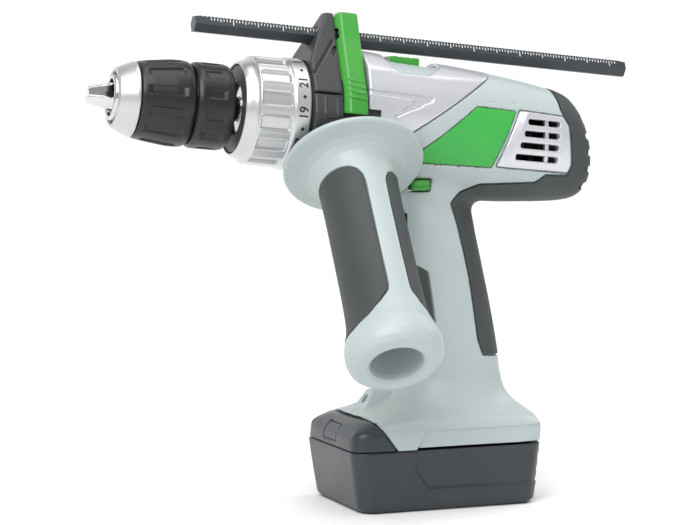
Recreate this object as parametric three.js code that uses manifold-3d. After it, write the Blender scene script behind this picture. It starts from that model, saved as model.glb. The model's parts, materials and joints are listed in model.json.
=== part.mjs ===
// A cordless hammer drill on its slide-in battery, with a side handle and a depth rod.
// Millimetres, +X towards the chuck, +Y to the drill's left, +Z up.
// The origin is the middle of the battery's flat foot.
import * as THREE from "three";
import { mergeVertices } from "three/addons/utils/BufferGeometryUtils.js";
import Module from "manifold-3d";

const wasm = await Module();
wasm.setup();

// ---- Driving dimensions -------------------------------------------------------------------

const GAP = 0.3; // clear space between neighbouring pieces
const RUN = 0.4; // clear space round a piece that turns or slides

// Head: everything on the spindle axis. "s" is the distance forward along that axis.
const HEAD_HEIGHT = 188.6;
const HEAD_PITCH = THREE.MathUtils.degToRad(5.42);
const NECK_FRONT = 66;
const NECK_REAR = 31.2;
const NECK_RADIUS = 26.4;
const NOSE_RADIUS = 21.4;
const NOSE_FRONT = 97.4;
const CASE_WALL = 2.4;
const CASE_RADIUS = 22.6; // of the gearbox case inside the housing

// Chuck
const CHUCK_REAR = 102;
const SLEEVE_SPLIT = 121.4;
const NOSE_LINE = 148.5;
const CHUCK_FRONT = 158.6;
const SLEEVE_RADIUS = 20.8;
const NOSE_LINE_RADIUS = 18.35;
const CHUCK_MOUTH_RADIUS = 14.4;
const BODY_RADIUS = 16.6;
const SPINDLE_RADIUS = 6;
const JAW_TIP = 171.2;
const JAW_RADIUS = 2.6;
const JAW_LENGTH = 30;
const JAW_ANGLE = THREE.MathUtils.degToRad(14);
const JAW_TIP_OFFSET = 0.8;
const NUT_CENTRE = 136;
const NUT_WIDTH = 6;
const NUT_RADIUS = 15.7;
const FLUTES = 12;
const FLUTE_DEPTH = 0.9;

// Torque collar
const COLLAR_REAR = 66;
const COLLAR_FRONT = 98.2;
const COLLAR_RADIUS = 27.6;
const COLLAR_PADS = 14;
const PAD_HEIGHT = 0.9;

// Gear train: one planetary stage
const GEAR_MODULE = 0.95;
const SUN_TEETH = 12;
const PLANET_TEETH = 15;
const RING_TEETH = SUN_TEETH + 2 * PLANET_TEETH;
const TOOTH_HEIGHT = 0.7;
const BACKLASH = 0.4;
const GEAR_REAR = 36;
const GEAR_WIDTH = 10;
const PLANETS = 3;

// Motor
const MOTOR_RADIUS = 18.5;
const MOTOR_REAR = -56;
const MOTOR_FRONT = 2;
const SHAFT_RADIUS = 2.5;
const ARMATURE_RADIUS = 13;
const MAGNET_RADIUS = ARMATURE_RADIUS + 0.7;

// Housing
const WALL = 2.6;
const SKIN = 1.8; // thickness of the covers and soft inlays that lie in the housing's surface
const HOUSING_SEGMENTS = 24;
const SEAM_HEIGHT = 30.5;
const FOOT_HALF_WIDTH = 37.8;
const GRIP_HALF_WIDTH = 18.6;
const BARREL_HALF_WIDTH = 27.6;

// Clamp, rod and side handle
const CLAMP_FRONT = 65.6;
const CLAMP_REAR = 31.6;
const CLAMP_RADIUS = 30.6;
const LEVER_FRONT = 47.6;
const LEVER_REAR = 38.6;
const LEVER_SWING = THREE.MathUtils.degToRad(5);
const ROD_HEIGHT = 39.3;
const ROD_ACROSS = 8;
const ROD_FRONT = 121.3;
const ROD_REAR = -110.4;
const HANDLE_STATION = 40.7;
const HANDLE_DROP = THREE.MathUtils.degToRad(48.96);
const HANDLE_LENGTH = 151.2;
const HANDLE_RADIUS = 18.8;
const FLANGE_RADIUS = 34.8;
const FLANGE_STATION = 28.4; // inner face of the flange's rim
const HANDLE_END_RADIUS = 23;
const HANDLE_HOLE_RADIUS = 12.2;
const HANDLE_HOLE_DEPTH = 22;
const HANDLE_START = 31.2; // inner face of the handle's hub
const STRIPE_MIDDLE = 86.5; // degrees from the rear, round the handle, to a bare stripe
const STRIPE_WIDTH = 34; // degrees; the two stripes lie opposite each other
const BOLT_RADIUS = 4;

// Trigger and buttons
const TRIGGER_TRAVEL = 6;
const TRIGGER_HALF_WIDTH = 7;
const BUTTON_TRAVEL = 2.5;
const SELECTOR_TRAVEL = 7;

// Battery
const BATTERY_LENGTH = 101;
const BATTERY_HALF_WIDTH = FOOT_HALF_WIDTH;
const DECK_HEIGHT = 42.5;
const DECK_HALF_WIDTH = 29;
const CELL_RADIUS = 8.75;
const CELL_LENGTH = 61;
const CELLS = 5;
const CASE_THICKNESS = 2;
const CAP_TOP = 44.8;
const LATCH_TRAVEL = 2;

// ---- Finishes -----------------------------------------------------------------------------

const finish = (color, roughness, metalness = 0) =>
  new THREE.MeshStandardMaterial({ color, roughness, metalness });
const PALE = finish(0xb9c4c2, 0.5);
const SILVER = finish(0xd9dadf, 0.35, 0.3);
const GREEN = finish(0x2f9a3a, 0.4);
const DARK = finish(0x4a4d4f, 0.6);
const RUBBER = finish(0x45484a, 0.85);
const BLACK = finish(0x1c1d1f, 0.45);
const STEEL = finish(0x9a9c9f, 0.3, 1);
const ALLOY = finish(0xb4b7ba, 0.4, 0.8);
const COPPER = finish(0xb06a3a, 0.4, 0.9);
const CHARCOAL = finish(0x3c4146, 0.55);
const CLEAR = finish(0xf2f4f0, 0.1);

// ---- Solids -------------------------------------------------------------------------------

// Turns a closed geometry into a solid that can be cut and joined.
function solid(geometry, matrix) {
  const bare = new THREE.BufferGeometry();
  const flat = geometry.index ? geometry.toNonIndexed() : geometry;
  bare.setAttribute("position", flat.getAttribute("position").clone());
  if (matrix) bare.applyMatrix4(matrix);
  const merged = mergeVertices(bare, 1e-4);
  const corners = Array.from(merged.index.array);
  const faces = [];
  for (let i = 0; i < corners.length; i += 3) {
    const [a, b, c] = corners.slice(i, i + 3);
    if (a !== b && b !== c && c !== a) faces.push(a, b, c);
  }
  return new wasm.Manifold(
    new wasm.Mesh({
      numProp: 3,
      vertProperties: new Float32Array(merged.attributes.position.array),
      triVerts: new Uint32Array(faces),
    }),
  );
}

// Turns a solid back into a geometry.
function geometryOf(body) {
  const mesh = body.getMesh();
  const geometry = new THREE.BufferGeometry();
  geometry.setAttribute("position", new THREE.BufferAttribute(mesh.vertProperties, 3));
  geometry.setIndex(new THREE.BufferAttribute(mesh.triVerts, 1));
  geometry.computeVertexNormals();
  return geometry;
}

// Adds one named piece to a group.
function add(group, name, body, material) {
  const mesh = new THREE.Mesh(geometryOf(body), material);
  mesh.name = name;
  group.add(mesh);
  return mesh;
}

const move = (x, y, z) => new THREE.Matrix4().makeTranslation(x, y, z);
const turnX = (angle) => new THREE.Matrix4().makeRotationX(angle);
const turnY = (angle) => new THREE.Matrix4().makeRotationY(angle);
const turnZ = (angle) => new THREE.Matrix4().makeRotationZ(angle);
const HEAD = move(0, 0, HEAD_HEIGHT).multiply(turnY(-HEAD_PITCH));

// Twice the signed area of an outline of [x, y] points.
function area(points) {
  return points.reduce((sum, [x, y], i) => {
    const [nextX, nextY] = points[(i + 1) % points.length];
    return sum + x * nextY - nextX * y;
  }, 0);
}

// A body turned about the X axis from [station, radius] points, on or off the axis.
function turned(profile, segments = 32) {
  const ordered = area(profile) > 0 ? [...profile].reverse() : profile;
  const hollow = ordered.every(([, radius]) => radius > 0);
  const run = hollow ? [...ordered, ordered[0]] : rotateToAxis(ordered);
  const points = run.map(([s, radius]) => new THREE.Vector2(radius, s));
  return solid(new THREE.LatheGeometry(points, segments), turnZ(-Math.PI / 2));
}

// Orders a profile so that its two points on the axis come first and last.
function rotateToAxis(points) {
  const first = points.findIndex(([, radius], i) => {
    const before = points[(i + points.length - 1) % points.length];
    return radius === 0 && before[1] === 0;
  });
  return [...points.slice(first), ...points.slice(0, first)];
}

// A round bar along X between two stations.
const bar = (from, to, radius, segments = 20) =>
  turned([[from, 0], [to, 0], [to, radius], [from, radius]], segments);

// A round tube along X between two stations.
const tube = (from, to, inner, outer, segments = 24) =>
  turned([[from, inner], [to, inner], [to, outer], [from, outer]], segments);

// A box between two corners.
function box(low, high) {
  const size = high.map((value, i) => value - low[i]);
  const centre = high.map((value, i) => (value + low[i]) / 2);
  return solid(new THREE.BoxGeometry(...size), move(...centre));
}

// An outline of [x, z] points, as seen from the drill's right, pushed from y = from to y = to.
function sideways(outline, from, to) {
  const shape = new THREE.Shape(outline.map(([x, z]) => new THREE.Vector2(x, z)));
  const geometry = new THREE.ExtrudeGeometry(shape, { depth: to - from, bevelEnabled: false });
  return solid(geometry, move(0, to, 0).multiply(turnX(Math.PI / 2)));
}

// An outline of [y, z] points, as seen from the front, pushed along X.
function forwards(outline, from, to) {
  const shape = new THREE.Shape(outline.map(([y, z]) => new THREE.Vector2(y, z)));
  const geometry = new THREE.ExtrudeGeometry(shape, { depth: to - from, bevelEnabled: false });
  const axes = new THREE.Matrix4().makeBasis(
    new THREE.Vector3(0, 1, 0),
    new THREE.Vector3(0, 0, 1),
    new THREE.Vector3(1, 0, 0),
  );
  return solid(geometry, move(from, 0, 0).multiply(axes));
}

// The outline moved inwards by a distance, corner by corner.
function shrunk(outline, distance) {
  const side = Math.sign(area(outline));
  return outline.map(([x, y], i) => {
    const [beforeX, beforeY] = outline[(i + outline.length - 1) % outline.length];
    const [afterX, afterY] = outline[(i + 1) % outline.length];
    const first = new THREE.Vector2(x - beforeX, y - beforeY).normalize();
    const second = new THREE.Vector2(afterX - x, afterY - y).normalize();
    const normal = new THREE.Vector2(-first.y - second.y, first.x + second.x).normalize();
    const stretch = distance / Math.max(0.4, normal.dot(new THREE.Vector2(-first.y, first.x)));
    return [x + side * normal.x * stretch, y + side * normal.y * stretch];
  });
}

// A body through superellipse sections: centre, two half-axes and a power for each.
function loft(sections, around) {
  const last = sections.length - 1;
  const geometry = new THREE.CylinderGeometry(1, 1, 1, around, last);
  const position = geometry.getAttribute("position");
  const point = new THREE.Vector3();
  for (let i = 0; i < position.count; i += 1) {
    point.fromBufferAttribute(position, i);
    const section = sections[Math.round((point.y + 0.5) * last)];
    const [across, upward] = [point.x, point.z].map((value) =>
      Math.abs(value) < 1e-6 ? 0 : Math.sign(value) * Math.abs(value) ** (2 / section.power),
    );
    const place = section.centre.clone();
    place.addScaledVector(section.across, across).addScaledVector(section.up, upward);
    position.setXYZ(i, place.x, place.y, place.z);
  }
  return solid(geometry);
}

// ---- Housing outline ----------------------------------------------------------------------

// Sections along the head: [station, top, bottom, half-width, power].
const BARREL = [
  [-89.2, -7, -20, 0.38 * BARREL_HALF_WIDTH, 2.1],
  [-88.2, -1, -25, 0.58 * BARREL_HALF_WIDTH, 2.2],
  [-85.5, 8, -28.5, 0.74 * BARREL_HALF_WIDTH, 2.3],
  [-81, 16.5, -30.3, 0.82 * BARREL_HALF_WIDTH, 2.4],
  [-74, 22.8, -31.6, 0.87 * BARREL_HALF_WIDTH, 2.4],
  [-60, 26.2, -33, 0.94 * BARREL_HALF_WIDTH, 2.4],
  [-35, 29.4, -34.5, 0.98 * BARREL_HALF_WIDTH, 2.3],
  [-10, 31.4, -31, BARREL_HALF_WIDTH, 2.2],
  [8, 32.3, -25.5, BARREL_HALF_WIDTH, 2.05],
  [20, 32.8, -24.6, BARREL_HALF_WIDTH, 2.05],
  [NECK_REAR - GAP, 33.9, -24.2, BARREL_HALF_WIDTH, 2.05],
];

// Sections up the foot and grip: [height, rear, front, half-width, power].
const GRIP = [
  [SEAM_HEIGHT, -52, 50, FOOT_HALF_WIDTH, 7],
  [38, -53, 49.5, FOOT_HALF_WIDTH, 6],
  [43, -52.5, 44, 0.95 * FOOT_HALF_WIDTH, 4.4],
  [47, -50, 36, 0.83 * FOOT_HALF_WIDTH, 3.2],
  [51, -46, 27, 0.71 * FOOT_HALF_WIDTH, 2.6],
  [56, -43, 18, 0.62 * FOOT_HALF_WIDTH, 2.4],
  [63, -41.3, 11.5, 1.1 * GRIP_HALF_WIDTH, 2.3],
  [72, -40, 9.5, 1.05 * GRIP_HALF_WIDTH, 2.3],
  [85, -38, 9.5, GRIP_HALF_WIDTH, 2.3],
  [100, -35.2, 11.5, GRIP_HALF_WIDTH, 2.3],
  [120, -31, 13.5, 0.97 * GRIP_HALF_WIDTH, 2.3],
  [138, -27.5, 12, 0.89 * GRIP_HALF_WIDTH, 2.2],
  [150, -26, 13, 0.73 * GRIP_HALF_WIDTH, 2.2],
  [160, -26, 15, 0.68 * GRIP_HALF_WIDTH, 2.2],
  [172, -24, 16, 0.86 * GRIP_HALF_WIDTH, 2.2],
];

const TAIL_START = -60; // behind this station the barrel's end moves with its sides

// The barrel moved inwards by a distance, still in the head's own axes.
function barrel(inset, segments) {
  const [tail] = BARREL[0];
  return loft(
    BARREL.map(([station, top, bottom, half, power], i) => ({
      centre: new THREE.Vector3(
        station +
          inset * Math.max(0, (station - TAIL_START) / (tail - TAIL_START)) +
          (i === BARREL.length - 1 ? inset : 0),
        0,
        (top + bottom) / 2,
      ),
      across: new THREE.Vector3(0, inset - half, 0),
      up: new THREE.Vector3(0, 0, (top - bottom) / 2 - inset),
      power,
    })),
    segments,
  );
}

// The foot and grip moved inwards by a distance.
function grip(inset, segments = HOUSING_SEGMENTS) {
  return loft(
    GRIP.map(([height, rear, front, half, power], i) => ({
      centre: new THREE.Vector3((rear + front) / 2, 0, i ? height : height - (inset > 0 ? 1 : 0)),
      across: new THREE.Vector3((front - rear) / 2 - inset, 0, 0),
      up: new THREE.Vector3(0, inset - half, 0),
      power,
    })),
    segments,
  );
}

// The whole housing's outer form moved inwards by a distance.
const form = (inset, segments = HOUSING_SEGMENTS) =>
  barrel(inset, segments).transform(HEAD.elements).add(grip(inset, segments));

const OUTER = form(0);
const UNDER_SKIN = form(SKIN);
const SKIN_POCKET = form(SKIN + 2 * GAP);
const INSIDE = form(WALL + SKIN, HOUSING_SEGMENTS / 2);

// Outlines on the housing's side, in head axes [station, height]
const COVER_OUTLINE = [
  [NECK_REAR + 6, 40],
  [-33, 40],
  [-31, 28],
  [NECK_REAR + 6, -22],
];
const PANEL_OUTLINE = [
  [-40.5, 10.8],
  [-19, 11.2],
  [7, -12],
  [12.5, -19],
  [-29.4, -18.2],
];
const VENT_OUTLINE = [
  [-42.3, 11.6],
  [-67, 10.6],
  [-70.6, 6],
  [-73.6, -13.5],
  [-72.4, -17.6],
  [-31.4, -17.8],
];
const SLOT_HEIGHTS = [6.1, 0.1, -5.8, -11.8];
const SLOT_FRONTS = [-47, -45.2, -43.4, -41.4];
const SLOT_REAR = -65;
const SLOT_HEIGHT = 2.9;

// Outlines on the housing's side, in the drill's own axes [x, z]
const SOFT_OUTLINE = [
  [-66, 230],
  [-68.2, 196],
  [-70, 191.6],
  [-72.3, 188],
  [-73.6, 168],
  [-71.4, 163],
  [-59, 163.6],
  [-54, 159.8],
  [-24.6, 159.4],
  [-16.3, 155.6],
  [-11.4, 150],
  [-12.2, 145.7],
  [-19, 114],
  [-23.6, 81],
  [-26.2, 73.4],
  [-60, 71],
  [-120, 71],
  [-120, 230],
];
const INLAY_OUTLINE = [
  [40, 119],
  [7, 119],
  [2.4, 116],
  [-2, 84],
  [-1.4, 82],
  [40, 82],
];
const CAP_OUTLINE = [
  [27.5, SEAM_HEIGHT - 4],
  [27.5, SEAM_HEIGHT],
  [37.8, CAP_TOP],
  [80, CAP_TOP],
  [80, SEAM_HEIGHT - 4],
];

const inHead = (body) => body.transform(HEAD.elements);
const OUTSIDE = 60; // beyond the drill's sides
const coverRegion = inHead(sideways(COVER_OUTLINE, -OUTSIDE, OUTSIDE));
const softRegion = sideways(SOFT_OUTLINE, -OUTSIDE, OUTSIDE);
const inlayRegion = sideways(INLAY_OUTLINE, -OUTSIDE, OUTSIDE);
const capRegion = sideways(CAP_OUTLINE, -OUTSIDE, OUTSIDE);
const sideRegion = (outline, side) =>
  inHead(side > 0 ? sideways(outline, 12, OUTSIDE) : sideways(outline, -OUTSIDE, -12));

// Battery bay: the room in the foot that the battery's deck slides through.
const bay = box(
  [-47, -DECK_HALF_WIDTH - 1.4, SEAM_HEIGHT - 5],
  [90, DECK_HALF_WIDTH + 1.4, DECK_HEIGHT + 1],
);

// Trigger mouth, button way and selector way
const TRIGGER_LOW = 122;
const TRIGGER_HIGH = 145;
const TRIGGER_MIDDLE = 134;
const TRIGGER_REAR = 10.6;
const triggerMouth = box(
  [TRIGGER_REAR - TRIGGER_TRAVEL - RUN, -TRIGGER_HALF_WIDTH - RUN, TRIGGER_LOW - RUN],
  [60, TRIGGER_HALF_WIDTH + RUN, TRIGGER_HIGH + RUN],
);
const BUTTON = { rear: 0, front: 8.6, low: 156.6, high: 162, reach: 12.1 + BUTTON_TRAVEL };
const buttonWay = box(
  [BUTTON.rear - RUN, -OUTSIDE, BUTTON.low - RUN],
  [BUTTON.front + RUN, OUTSIDE, BUTTON.high + RUN],
);
const SELECTOR = { rear: 5, front: 20, half: 6.5, low: 27, top: 33.4 };
const selectorWay = inHead(
  box(
    [SELECTOR.rear - SELECTOR_TRAVEL - RUN, -SELECTOR.half - RUN, SELECTOR.low - 1],
    [SELECTOR.front + RUN, SELECTOR.half + RUN, 45],
  ),
);

// ---- Housing ------------------------------------------------------------------------------

function buildHousing(root) {
  const neckHole = inHead(bar(0, 60, CASE_RADIUS + 2 * GAP, 28));
  let shell = OUTER.subtract(INSIDE).subtract(neckHole).subtract(bay);
  const pockets = [
    coverRegion,
    softRegion,
    inlayRegion,
    sideRegion(shrunk(PANEL_OUTLINE, -GAP), 1),
    sideRegion(shrunk(PANEL_OUTLINE, -GAP), -1),
    sideRegion(shrunk(VENT_OUTLINE, -GAP), 1),
    sideRegion(shrunk(VENT_OUTLINE, -GAP), -1),
  ];
  for (const region of pockets) shell = shell.subtract(region.subtract(SKIN_POCKET));
  const slots = ventSlots();
  for (const cut of [capRegion, triggerMouth, buttonWay, selectorWay, slots]) {
    shell = shell.subtract(cut);
  }
  const leftHalf = box([-200, GAP / 2, 0], [200, 100, 300]);
  const rightHalf = box([-200, -100, 0], [200, -GAP / 2, 300]);
  add(root, "housing_left", largest(shell.intersect(leftHalf)), PALE);
  add(root, "housing_right", largest(shell.intersect(rightHalf)), PALE);

  const layer = OUTER.subtract(UNDER_SKIN);
  const inCover = inHead(sideways(shrunk(COVER_OUTLINE, GAP), -OUTSIDE, OUTSIDE));
  const cover = layer.intersect(inCover).subtract(neckHole).subtract(selectorWay);
  add(root, "top_cover", largest(cover.subtract(buttonWay)), SILVER);
  const soft = layer.intersect(sideways(shrunk(SOFT_OUTLINE, GAP), -OUTSIDE, OUTSIDE));
  add(root, "rear_overmould", largest(soft), RUBBER);
  const inlay = layer.intersect(sideways(shrunk(INLAY_OUTLINE, GAP), -OUTSIDE, OUTSIDE));
  add(root, "grip_front_inlay", largest(inlay), RUBBER);
  for (const [side, suffix] of [[1, "left"], [-1, "right"]]) {
    const panel = layer.intersect(sideRegion(PANEL_OUTLINE, side));
    add(root, "side_panel_" + suffix, largest(panel), GREEN);
    const grille = layer.intersect(sideRegion(VENT_OUTLINE, side)).subtract(slots);
    add(root, "vent_grille_" + suffix, largest(grille), SILVER);
  }
}

// The four cooling slots on each side, as cutting bodies that pass right through.
function ventSlots() {
  let slots;
  SLOT_HEIGHTS.forEach((height, i) => {
    const cut = box(
      [SLOT_REAR, -OUTSIDE, height - SLOT_HEIGHT / 2],
      [SLOT_FRONTS[i], OUTSIDE, height + SLOT_HEIGHT / 2],
    );
    slots = slots ? slots.add(cut) : cut;
  });
  return inHead(slots);
}

// The biggest connected piece of a body, without the crumbs that a cut leaves.
function largest(body) {
  return body.decompose().reduce((best, piece) => (piece.volume() > best.volume() ? piece : best));
}

// Small lamp turret at the front of the foot, lighting the work.
function buildLamp(root) {
  const outline = [[10, 46], [14, 58], [25, 58.5], [28.4, 57], [35, 47], [35, 44]];
  const lampAxis = move(30.6, 0, 52.4).multiply(turnY(-THREE.MathUtils.degToRad(33)));
  const hole = bar(-6, 12, 3.2, 20).transform(lampAxis.elements);
  const turret = sideways(outline, -9, 9).subtract(form(-GAP)).subtract(hole);
  add(root, "lamp_housing", largest(turret), PALE);
  const lens = turned([[-1.6, 0], [0.6, 0], [0, 2], [-0.8, 2.8], [-1.6, 2.8]], 16);
  add(root, "lamp_lens", lens.transform(lampAxis.elements), CLEAR);
}

// ---- Trigger, switch and buttons -------------------------------------------------------------

function buildControls(root) {
  const block = box([-15, -7.2, TRIGGER_LOW - 1], [3.6, 7.2, TRIGGER_HIGH]);
  const plungerHole = bar(-12, 10, 2.6, 12).transform(move(0, 0, TRIGGER_MIDDLE).elements);
  add(root, "switch_module", block.subtract(plungerHole), BLACK);

  const face = [
    [TRIGGER_REAR, TRIGGER_HIGH],
    [17.5, TRIGGER_HIGH],
    [19, TRIGGER_HIGH - 4],
    [18.6, TRIGGER_MIDDLE + 2],
    [20.4, TRIGGER_MIDDLE - 5],
    [23.4, TRIGGER_LOW + 2.4],
    [21, TRIGGER_LOW],
    [TRIGGER_REAR, TRIGGER_LOW],
  ];
  const stem = bar(-4, 12, 2.2, 12).transform(move(0, 0, TRIGGER_MIDDLE).elements);
  const trigger = sideways(face, -TRIGGER_HALF_WIDTH, TRIGGER_HALF_WIDTH).add(stem);
  add(root, "trigger", trigger, BLACK);

  const reach = BUTTON.reach;
  const button = box([BUTTON.rear, -reach, BUTTON.low], [BUTTON.front, reach, BUTTON.high]);
  add(root, "direction_button", button, GREEN);

  const slider = box(
    [SELECTOR.rear, -SELECTOR.half, SELECTOR.low],
    [SELECTOR.front, SELECTOR.half, SELECTOR.top],
  );
  let ribbed = slider;
  for (let x = SELECTOR.rear + 3; x < SELECTOR.front; x += 3) {
    ribbed = ribbed.subtract(box([x - 0.5, -9, SELECTOR.top - 0.9], [x + 0.5, 9, 40]));
  }
  add(root, "gear_selector", ribbed.transform(HEAD.elements), GREEN);

  const base = box([-36, -12, DECK_HEIGHT + 2], [-6, 12, DECK_HEIGHT + 6]);
  const blades = [-7, 7].map((y) => box([-30, y - 0.5, DECK_HEIGHT - 6], [-14, y + 0.5, 48]));
  add(root, "terminal_block", blades.reduce((body, blade) => body.add(blade), base), BLACK);
}

// ---- Gearbox and motor -------------------------------------------------------------------------

function buildGearbox(head) {
  const inner = NECK_RADIUS - CASE_WALL;
  const gearCase = turned(
    [
      [8, CASE_RADIUS - CASE_WALL],
      [NECK_REAR + CASE_WALL, CASE_RADIUS - CASE_WALL],
      [NECK_REAR + CASE_WALL, inner],
      [NECK_FRONT - 6, inner],
      [NECK_FRONT - 6, 13],
      [NOSE_FRONT, 13],
      [NOSE_FRONT, NOSE_RADIUS],
      [NECK_FRONT, NOSE_RADIUS],
      [NECK_FRONT, NECK_RADIUS],
      [NECK_REAR, NECK_RADIUS],
      [NECK_REAR, CASE_RADIUS],
      [8, CASE_RADIUS],
    ],
    32,
  );
  add(head, "gearbox_case", gearCase, ALLOY);
  const bearing = tube(88, NOSE_FRONT - 2, SPINDLE_RADIUS + 0.3, 13 - GAP, 24);
  add(head, "spindle_bearing", bearing, STEEL);
  const rim = forwards(circle(inner - GAP, 36), GEAR_REAR, GEAR_REAR + GEAR_WIDTH);
  const teeth = gearOutline(RING_TEETH, -1);
  const hollow = forwards(teeth, GEAR_REAR - 1, GEAR_REAR + GEAR_WIDTH + 1);
  add(head, "ring_gear", rim.subtract(hollow), STEEL);
}

// Points round a circle.
function circle(radius, count) {
  return Array.from({ length: count }, (_, i) => {
    const angle = (2 * Math.PI * i) / count;
    return [radius * Math.cos(angle), radius * Math.sin(angle)];
  });
}

// A gear's outline. side is 1 for teeth that point out and -1 for the space inside a ring gear.
function gearOutline(teeth, side) {
  const pitch = (GEAR_MODULE * teeth) / 2;
  const tip = pitch + TOOTH_HEIGHT * GEAR_MODULE;
  const root = pitch - 1.1 * GEAR_MODULE;
  const [high, low] = side > 0 ? [tip, root] : [pitch + 1.1 * GEAR_MODULE, 2 * pitch - tip];
  const half = Math.PI / (2 * teeth);
  const slack = (side * BACKLASH) / (4 * pitch);
  const points = [];
  for (let i = 0; i < teeth; i += 1) {
    const centre = (2 * Math.PI * i) / teeth;
    const flank = half - slack;
    const corners = [
      [low, -flank * 1.5],
      [high, -flank * 0.55],
      [high, flank * 0.55],
      [low, flank * 1.5],
    ];
    for (const [radius, offset] of corners) {
      points.push([radius * Math.cos(centre + offset), radius * Math.sin(centre + offset)]);
    }
  }
  return points;
}

function buildMotor(head) {
  const can = turned(
    [
      [MOTOR_REAR + 6, MAGNET_RADIUS],
      [MOTOR_FRONT - 2, MAGNET_RADIUS],
      [MOTOR_FRONT - 2, 7],
      [MOTOR_FRONT, 7],
      [MOTOR_FRONT, MOTOR_RADIUS],
      [MOTOR_REAR + 6, MOTOR_RADIUS],
    ],
    32,
  );
  add(head, "motor_can", can, STEEL);
  const cap = turned(
    [
      [MOTOR_REAR, SHAFT_RADIUS + RUN],
      [MOTOR_REAR + 3, SHAFT_RADIUS + RUN],
      [MOTOR_REAR + 3, MOTOR_RADIUS - 3],
      [MOTOR_REAR + 5.7, MOTOR_RADIUS - 3],
      [MOTOR_REAR + 5.7, MOTOR_RADIUS],
      [MOTOR_REAR, MOTOR_RADIUS - 2],
    ],
    32,
  );
  add(head, "motor_end_cap", cap, BLACK);
  const shaft = bar(MOTOR_REAR - 14, GEAR_REAR + GEAR_WIDTH + 1, SHAFT_RADIUS, 20);
  add(head, "motor_shaft", shaft, STEEL);
  const bore = bar(-100, 100, SHAFT_RADIUS + 0.3, 20);
  const slots = 7;
  const poles = circle(ARMATURE_RADIUS, 4 * slots).map(([y, z], i) =>
    i % 4 === 0 ? [y * 0.78, z * 0.78] : [y, z],
  );
  add(head, "armature", forwards(poles, -44, -10).subtract(bore), COPPER);
  const pinion = forwards(gearOutline(SUN_TEETH, 1), GEAR_REAR, GEAR_REAR + GEAR_WIDTH);
  add(head, "motor_pinion", pinion.subtract(bore), STEEL);
  const blades = circle(16, 36).map(([y, z], i) => (i % 4 === 0 ? [y * 0.55, z * 0.55] : [y, z]));
  const fan = forwards(blades, MOTOR_REAR - 10, MOTOR_REAR - 3).subtract(bore);
  add(head, "cooling_fan", fan, BLACK);
}

function buildPlanets(head) {
  const centre = (GEAR_MODULE * (SUN_TEETH + PLANET_TEETH)) / 2;
  const outline = gearOutline(PLANET_TEETH, 1);
  const hole = bar(0, 100, 2.5 + RUN / 2, 16);
  const gear = forwards(outline, GEAR_REAR + 0.5, GEAR_REAR + GEAR_WIDTH - 0.5).subtract(hole);
  for (let i = 0; i < PLANETS; i += 1) {
    const place = turnX((2 * Math.PI * i) / PLANETS).multiply(move(0, centre, 0));
    add(head, "planet_gear_" + (i + 1), gear.transform(place.elements), STEEL);
  }
  let carrier = bar(GEAR_REAR + GEAR_WIDTH + 2, GEAR_REAR + GEAR_WIDTH + 7, 18, 32);
  for (let i = 0; i < PLANETS; i += 1) {
    const place = turnX((2 * Math.PI * i) / PLANETS).multiply(move(0, centre, 0));
    const pin = bar(GEAR_REAR, GEAR_REAR + GEAR_WIDTH + 4, 2.5, 16);
    carrier = carrier.add(pin.transform(place.elements));
  }
  const shaft = bar(GEAR_REAR + GEAR_WIDTH + 4, CHUCK_REAR + 10, SPINDLE_RADIUS, 24);
  add(head, "output_spindle", carrier.add(shaft), STEEL);
}

// ---- Chuck and torque collar ---------------------------------------------------------------------

// A ring about the axis whose outside has shallow flutes.
function fluted(profile, count, depth, from, to) {
  const body = turned(profile, 3 * FLUTES);
  const radius = Math.max(...profile.map(([, r]) => r));
  const outline = circle(radius + 0.05, count * 3).map(([y, z], i) =>
    i % 3 < 2 ? [y, z] : [y * (1 - depth / radius), z * (1 - depth / radius)],
  );
  const band = forwards(circle(radius + 5, 12), from, to).subtract(forwards(outline, from, to));
  return body.subtract(band);
}

// One jaw: a bar along its own inclined line, flattened where it meets the other two.
function jaw(index) {
  const place = turnX((2 * Math.PI * index) / 3)
    .multiply(move(JAW_TIP, 0, JAW_TIP_OFFSET))
    .multiply(turnY(JAW_ANGLE));
  const body = bar(-JAW_LENGTH, 4, JAW_RADIUS, 12).transform(place.elements);
  const reach = 30;
  const edge = Math.tan(THREE.MathUtils.degToRad(30)) * reach;
  const wedge = forwards([[0, 0.15], [reach, edge + 0.15], [reach, 40], [-reach, 40],
    [-reach, edge + 0.15]], 100, JAW_TIP);
  return body.intersect(wedge.transform(turnX((2 * Math.PI * index) / 3).elements));
}

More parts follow.
